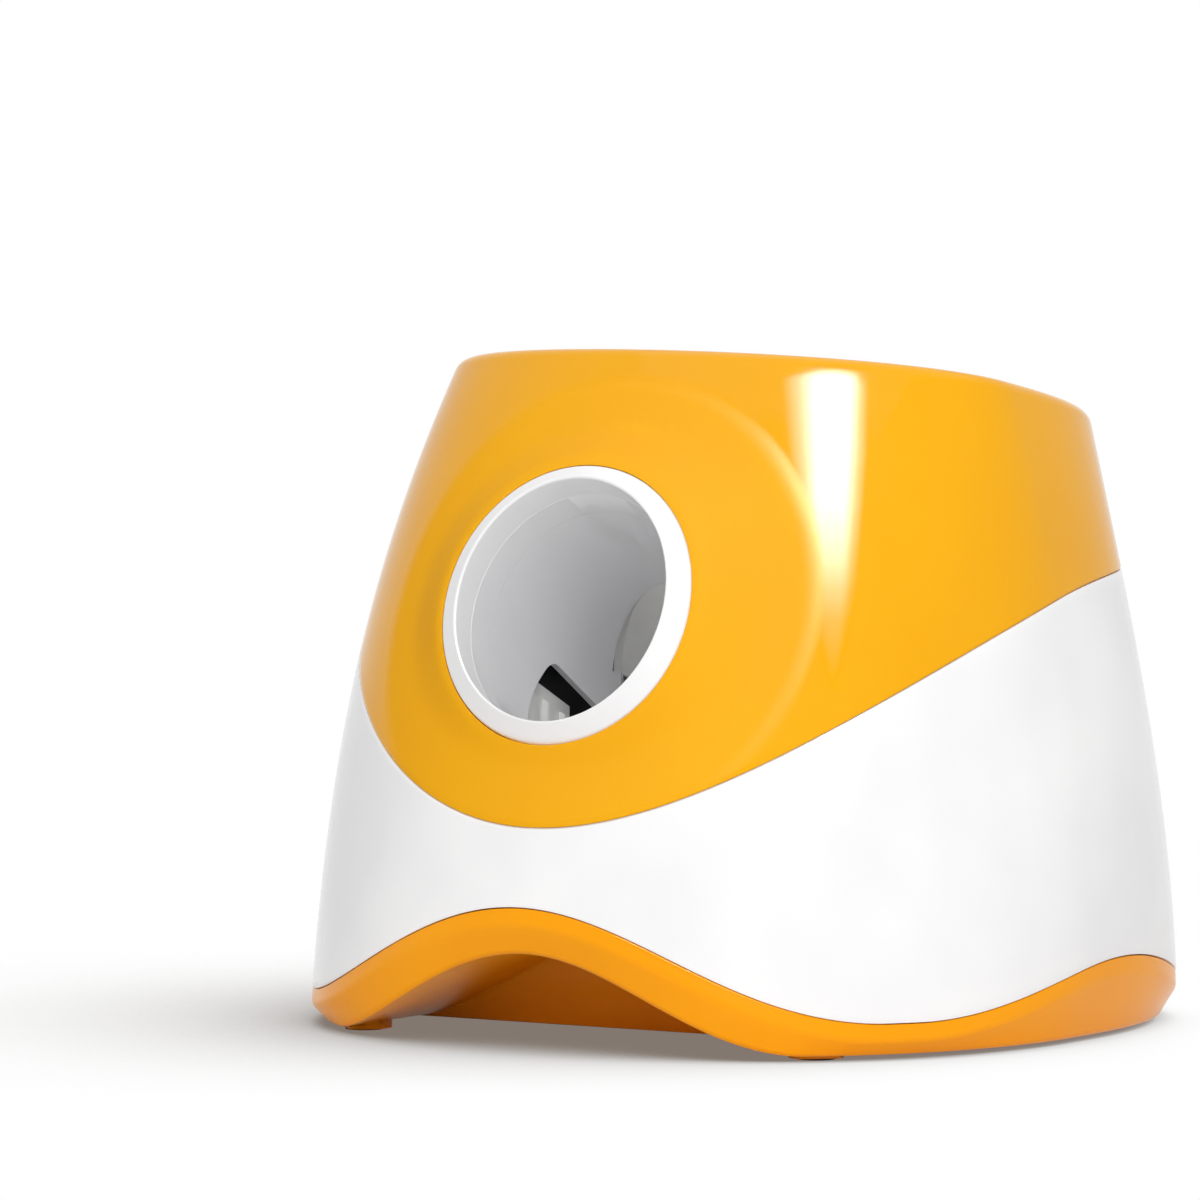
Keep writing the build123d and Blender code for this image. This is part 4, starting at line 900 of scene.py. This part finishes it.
# ---- key marks ------------------------------------------------------------------
class LAUNCHER_OT_key_marks(PieceOperator):
    """Raised marks on the two keys, read from behind: a power sign and three distance bars"""

    bl_idname = "launcher.key_marks"
    bl_label = "Key marks"

    aside = 27.0               # each key's distance from the middle
    stroke = 0.6
    sunk, proud = 0.05, 0.15   # how far a mark reaches into the key and out of it

    def ribbon(self, work, path, width, low, high):
        """Raised strip along a path of (right, back) points on the top face."""
        points = [Vector(p) for p in path]
        sides = []
        for i, p in enumerate(points):
            ahead = (points[min(i + 1, len(points) - 1)] - points[max(i - 1, 0)]).normalized()
            across = Vector((-ahead.y, ahead.x)) * width / 2
            sides.append((p - across, p + across))
        rows = []
        for height in (low, high):
            outline = [a for a, b in sides] + [b for a, b in reversed(sides)]
            rows.append([work.verts.new(deck_point(PANEL_Y, q.x, q.y, -height) * MM) for q in outline])
        count = len(rows[0])
        for i in range(count):
            j = (i + 1) % count
            work.faces.new((rows[0][i], rows[0][j], rows[1][j], rows[1][i]))
        for k in range(len(points) - 1):
            for row in rows:
                work.faces.new((row[k], row[k + 1], row[count - 2 - k], row[count - 1 - k]))

    def key_top(self, name):
        """Height of a key's top over the top face."""
        origin = deck_point(PANEL_Y)
        return max((v.co / MM - origin).dot(DECK_OUT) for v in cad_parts[name].data.vertices)

    def execute(self, context):
        gap = math.radians(38)
        sweep = [gap + (2 * math.pi - 2 * gap) * k / 28 for k in range(29)]
        power = [[(2.1 * math.sin(a), 2.1 * math.cos(a)) for a in sweep], [(0.0, 0.4), (0.0, 2.7)]]
        bars = [[(1.5 * (k - 1), -2.0), (1.5 * (k - 1), -2.0 + tall)]
                for k, tall in enumerate((1.6, 2.8, 4.0))]
        aside = self.aside
        for key, centre, paths in (("power_button", -aside, power), ("distance_button", aside, bars)):
            top = self.key_top(key)

            def build(work):
                for path in paths:
                    self.ribbon(work, [(centre - x, -y) for x, y in path], self.stroke,
                                top - self.sunk, top + self.proud)

            piece = mesh_object(key.replace("button", "mark"), build)
            settle_piece(piece, "panel_grey", body=key.replace("button", "key"))
        return {"FINISHED"}


# ---- stage --------------------------------------------------------------------
class LAUNCHER_OT_stage(PieceOperator):
    """Pale floor, soft lamps and the camera"""

    bl_idname = "launcher.stage"
    bl_label = "Stage"

    target = Vector((-0.0264, -0.0376, 0.1320))
    back = Vector((0.5436, -0.8371, 0.0603))
    distance = 3.215

    def seen(self, tree):
        """One for the rays of the camera, of gloss and through clear plastic, which see white paper."""
        path = add_node(tree, "ShaderNodeLightPath")
        either = add_node(tree, "ShaderNodeMath", {"operation": "MAXIMUM"},
                          {0: (path, "Is Camera Ray"), 1: (path, "Is Transmission Ray")})
        return add_node(tree, "ShaderNodeMath", {"operation": "MAXIMUM"},
                        {0: (either, "Value"), 1: (path, "Is Glossy Ray")})

    def mix(self, tree, share, first, second):
        """Shader that goes from the first to the second with a share, given as a node and its output."""
        return add_node(tree, "ShaderNodeMixShader", None, {"Fac": share, 1: (first, 0), 2: (second, 0)})

    def floor(self):
        """White sheet, clear from below, whose only shade is the object's soft contact shadow."""
        sheet = mesh_object("floor", lambda work: bmesh.ops.create_grid(
            work, x_segments=1, y_segments=1, size=7.0), closed=False)
        material = bpy.data.materials.new("studio paper")
        tree = bare_tree(material)
        paper = add_node(tree, "ShaderNodeBsdfDiffuse", {"Color": linear("#F4F4F4")})
        # Leaning towards the lamp's side draws the shade out on the other side.
        lean = add_node(tree, "ShaderNodeCombineXYZ", {"X": 0.42, "Y": 0.27, "Z": 0.87})
        shade = add_node(tree, "ShaderNodeAmbientOcclusion", {"Distance": 0.3, "samples": 16},
                         {"Normal": (lean, "Vector")})
        reach = add_node(tree, "ShaderNodeMapRange", {"From Min": 0.15, "From Max": 0.87},
                         {"Value": (shade, "AO")})
        deep = add_node(tree, "ShaderNodeEmission", {"Color": linear("#83786F")})
        open_floor = add_node(tree, "ShaderNodeEmission", {"Color": linear("#FFFFFF")})
        white = self.mix(tree, (reach, "Result"), deep, open_floor)
        above = self.mix(tree, (self.seen(tree), "Value"), paper, white)
        below = add_node(tree, "ShaderNodeNewGeometry")
        clear = add_node(tree, "ShaderNodeBsdfTransparent")
        side = self.mix(tree, (below, "Backfacing"), above, clear)
        add_node(tree, "ShaderNodeOutputMaterial", None, {"Surface": (side, "Shader")})
        sheet.data.materials.append(material)

    def lamp(self, name, place, aim, size, power, mirrored=True):
        """Soft rectangular lamp aimed at a point, seen in gloss or not."""
        data = bpy.data.lights.new(name, "AREA")
        data.shape = "RECTANGLE"
        data.size, data.size_y = size
        data.energy = power
        lamp = add_object(name, data)
        lamp.visible_glossy = mirrored
        lamp.location = place
        lamp.rotation_euler = (Vector(aim) - Vector(place)).to_track_quat("-Z", "Y").to_euler()

    def card(self):
        """Glowing tapered strip, bright on top and fading below, that the gloss shell mirrors."""
        # Left end, right end and share of the glow of each row, from the top down, in metres.
        ends = (((-0.051, -0.632, 1.581), (0.362, -0.657, 1.538), 1.1),
                ((0.116, -0.748, 1.521), (0.505, -0.706, 1.468), 1.1),
                ((0.292, -0.851, 1.434), (0.658, -0.755, 1.371), 1.1),
                ((0.489, -0.945, 1.305), (0.799, -0.812, 1.243), 1.05),
                ((0.654, -1.009, 1.166), (0.909, -0.863, 1.113), 0.66),
                ((0.774, -1.037, 1.052), (0.98, -0.898, 1.009), 0.27),
                ((0.859, -1.045, 0.966), (1.015, -0.929, 0.934), 0.1),
                ((0.954, -1.04, 0.869), (1.039, -0.971, 0.851), 0.04),
                ((1.033, -1.03, 0.777), (1.05, -1.014, 0.773), 0.0))
        # Share of the width and of the glow, so that both sides fade out softly.
        profile = ((-0.3, 0.0), (-0.05, 0.3), (0.2, 1.0), (0.8, 1.0), (1.05, 0.3), (1.3, 0.0))

        def build(work):
            shade = work.verts.layers.float.new("fade")
            rows = []
            for left, right, share in ends:
                rows.append([])
                for along, strength in profile:
                    rows[-1].append(work.verts.new(Vector(left).lerp(Vector(right), along)))
                    rows[-1][-1][shade] = share * strength
            for low, high in zip(rows, rows[1:]):
                for i in range(len(profile) - 1):
                    work.faces.new((low[i], low[i + 1], high[i + 1], high[i]))

        strip = mesh_object("strip", build, closed=False)
        material = bpy.data.materials.new("strip glow")
        tree = bare_tree(material)
        fade = add_node(tree, "ShaderNodeAttribute", {"attribute_name": "fade"})
        power = add_node(tree, "ShaderNodeMath", {"operation": "MULTIPLY"}, {0: (fade, "Fac")})
        power.inputs[1].default_value = 75.0
        glow = add_node(tree, "ShaderNodeEmission", {"Color": linear("#FFFFFF")},
                        {"Strength": (power, "Value")})
        add_node(tree, "ShaderNodeOutputMaterial", None, {"Surface": (glow, "Emission")})
        strip.data.materials.append(material)
        for kind in ("camera", "diffuse", "transmission", "shadow"):
            setattr(strip, "visible_" + kind, False)

    def camera(self):
        """Long lens a little above the floor, from the front and right."""
        data = bpy.data.cameras.new("camera")
        data.sensor_width = 36.0
        data.lens = 311.95
        data.clip_end = 20
        camera = add_object("camera", data)
        camera.location = self.target + self.back.normalized() * self.distance
        camera.rotation_euler = self.back.to_track_quat("Z", "Y").to_euler()
        bpy.context.scene.camera = camera

    def world(self, context):
        """Even grey room that the camera and clear plastic see as white."""
        world = bpy.data.worlds.new("studio")
        context.scene.world = world
        tree = bare_tree(world)
        room = add_node(tree, "ShaderNodeBackground", {"Color": linear("#FFFFFF"), "Strength": 0.37})
        paper = add_node(tree, "ShaderNodeBackground", {"Color": linear("#FFFFFF"), "Strength": 1.0})
        both = self.mix(tree, (self.seen(tree), "Value"), room, paper)
        add_node(tree, "ShaderNodeOutputWorld", None, {"Surface": (both, "Shader")})

    def execute(self, context):
        self.floor()
        self.world(context)
        self.card()
        self.lamp("front", (1.7, -2.2, 1.9), (0, 0, 0.1), (2.0, 2.0), 64, False)
        self.lamp("top", (0.0, 0.2, 2.4), (0, 0, 0.1), (3.0, 3.0), 19)
        self.camera()
        context.scene.view_settings.view_transform = "Standard"
        return {"FINISHED"}


steps = [LAUNCHER_OT_finishes, LAUNCHER_OT_upper_shell, LAUNCHER_OT_lower_shell, LAUNCHER_OT_base,
         LAUNCHER_OT_ring, LAUNCHER_OT_window, LAUNCHER_OT_hopper, LAUNCHER_OT_springs,
         LAUNCHER_OT_key_marks, LAUNCHER_OT_stage]


class LAUNCHER_PT_pieces(bpy.types.Panel):
    """Lists the launcher's sizes, colours and pieces"""

    bl_idname = "LAUNCHER_PT_pieces"
    bl_label = "Ball launcher"
    bl_space_type = "VIEW_3D"
    bl_region_type = "UI"
    bl_category = "Launcher"

    def draw(self, context):
        for group in (context.scene.launcher_colours, context.scene.launcher_sizes):
            for name in group.__annotations__:
                self.layout.prop(group, name)
        for step in steps:
            self.layout.operator(step.bl_idname)


classes = [LauncherColours, LauncherSizes, *steps, LAUNCHER_PT_pieces]


def register():
    for one in classes:
        bpy.utils.register_class(one)
    bpy.types.Scene.launcher_colours = bpy.props.PointerProperty(type=LauncherColours)
    bpy.types.Scene.launcher_sizes = bpy.props.PointerProperty(type=LauncherSizes)


def unregister():
    del bpy.types.Scene.launcher_sizes
    del bpy.types.Scene.launcher_colours
    for one in reversed(classes):
        bpy.utils.unregister_class(one)


def main():
    """Build every piece in order."""
    register()
    for step in steps:
        group, name = step.bl_idname.split(".")
        getattr(getattr(bpy.ops, group), name)()


if __name__ == "__main__":
    main()
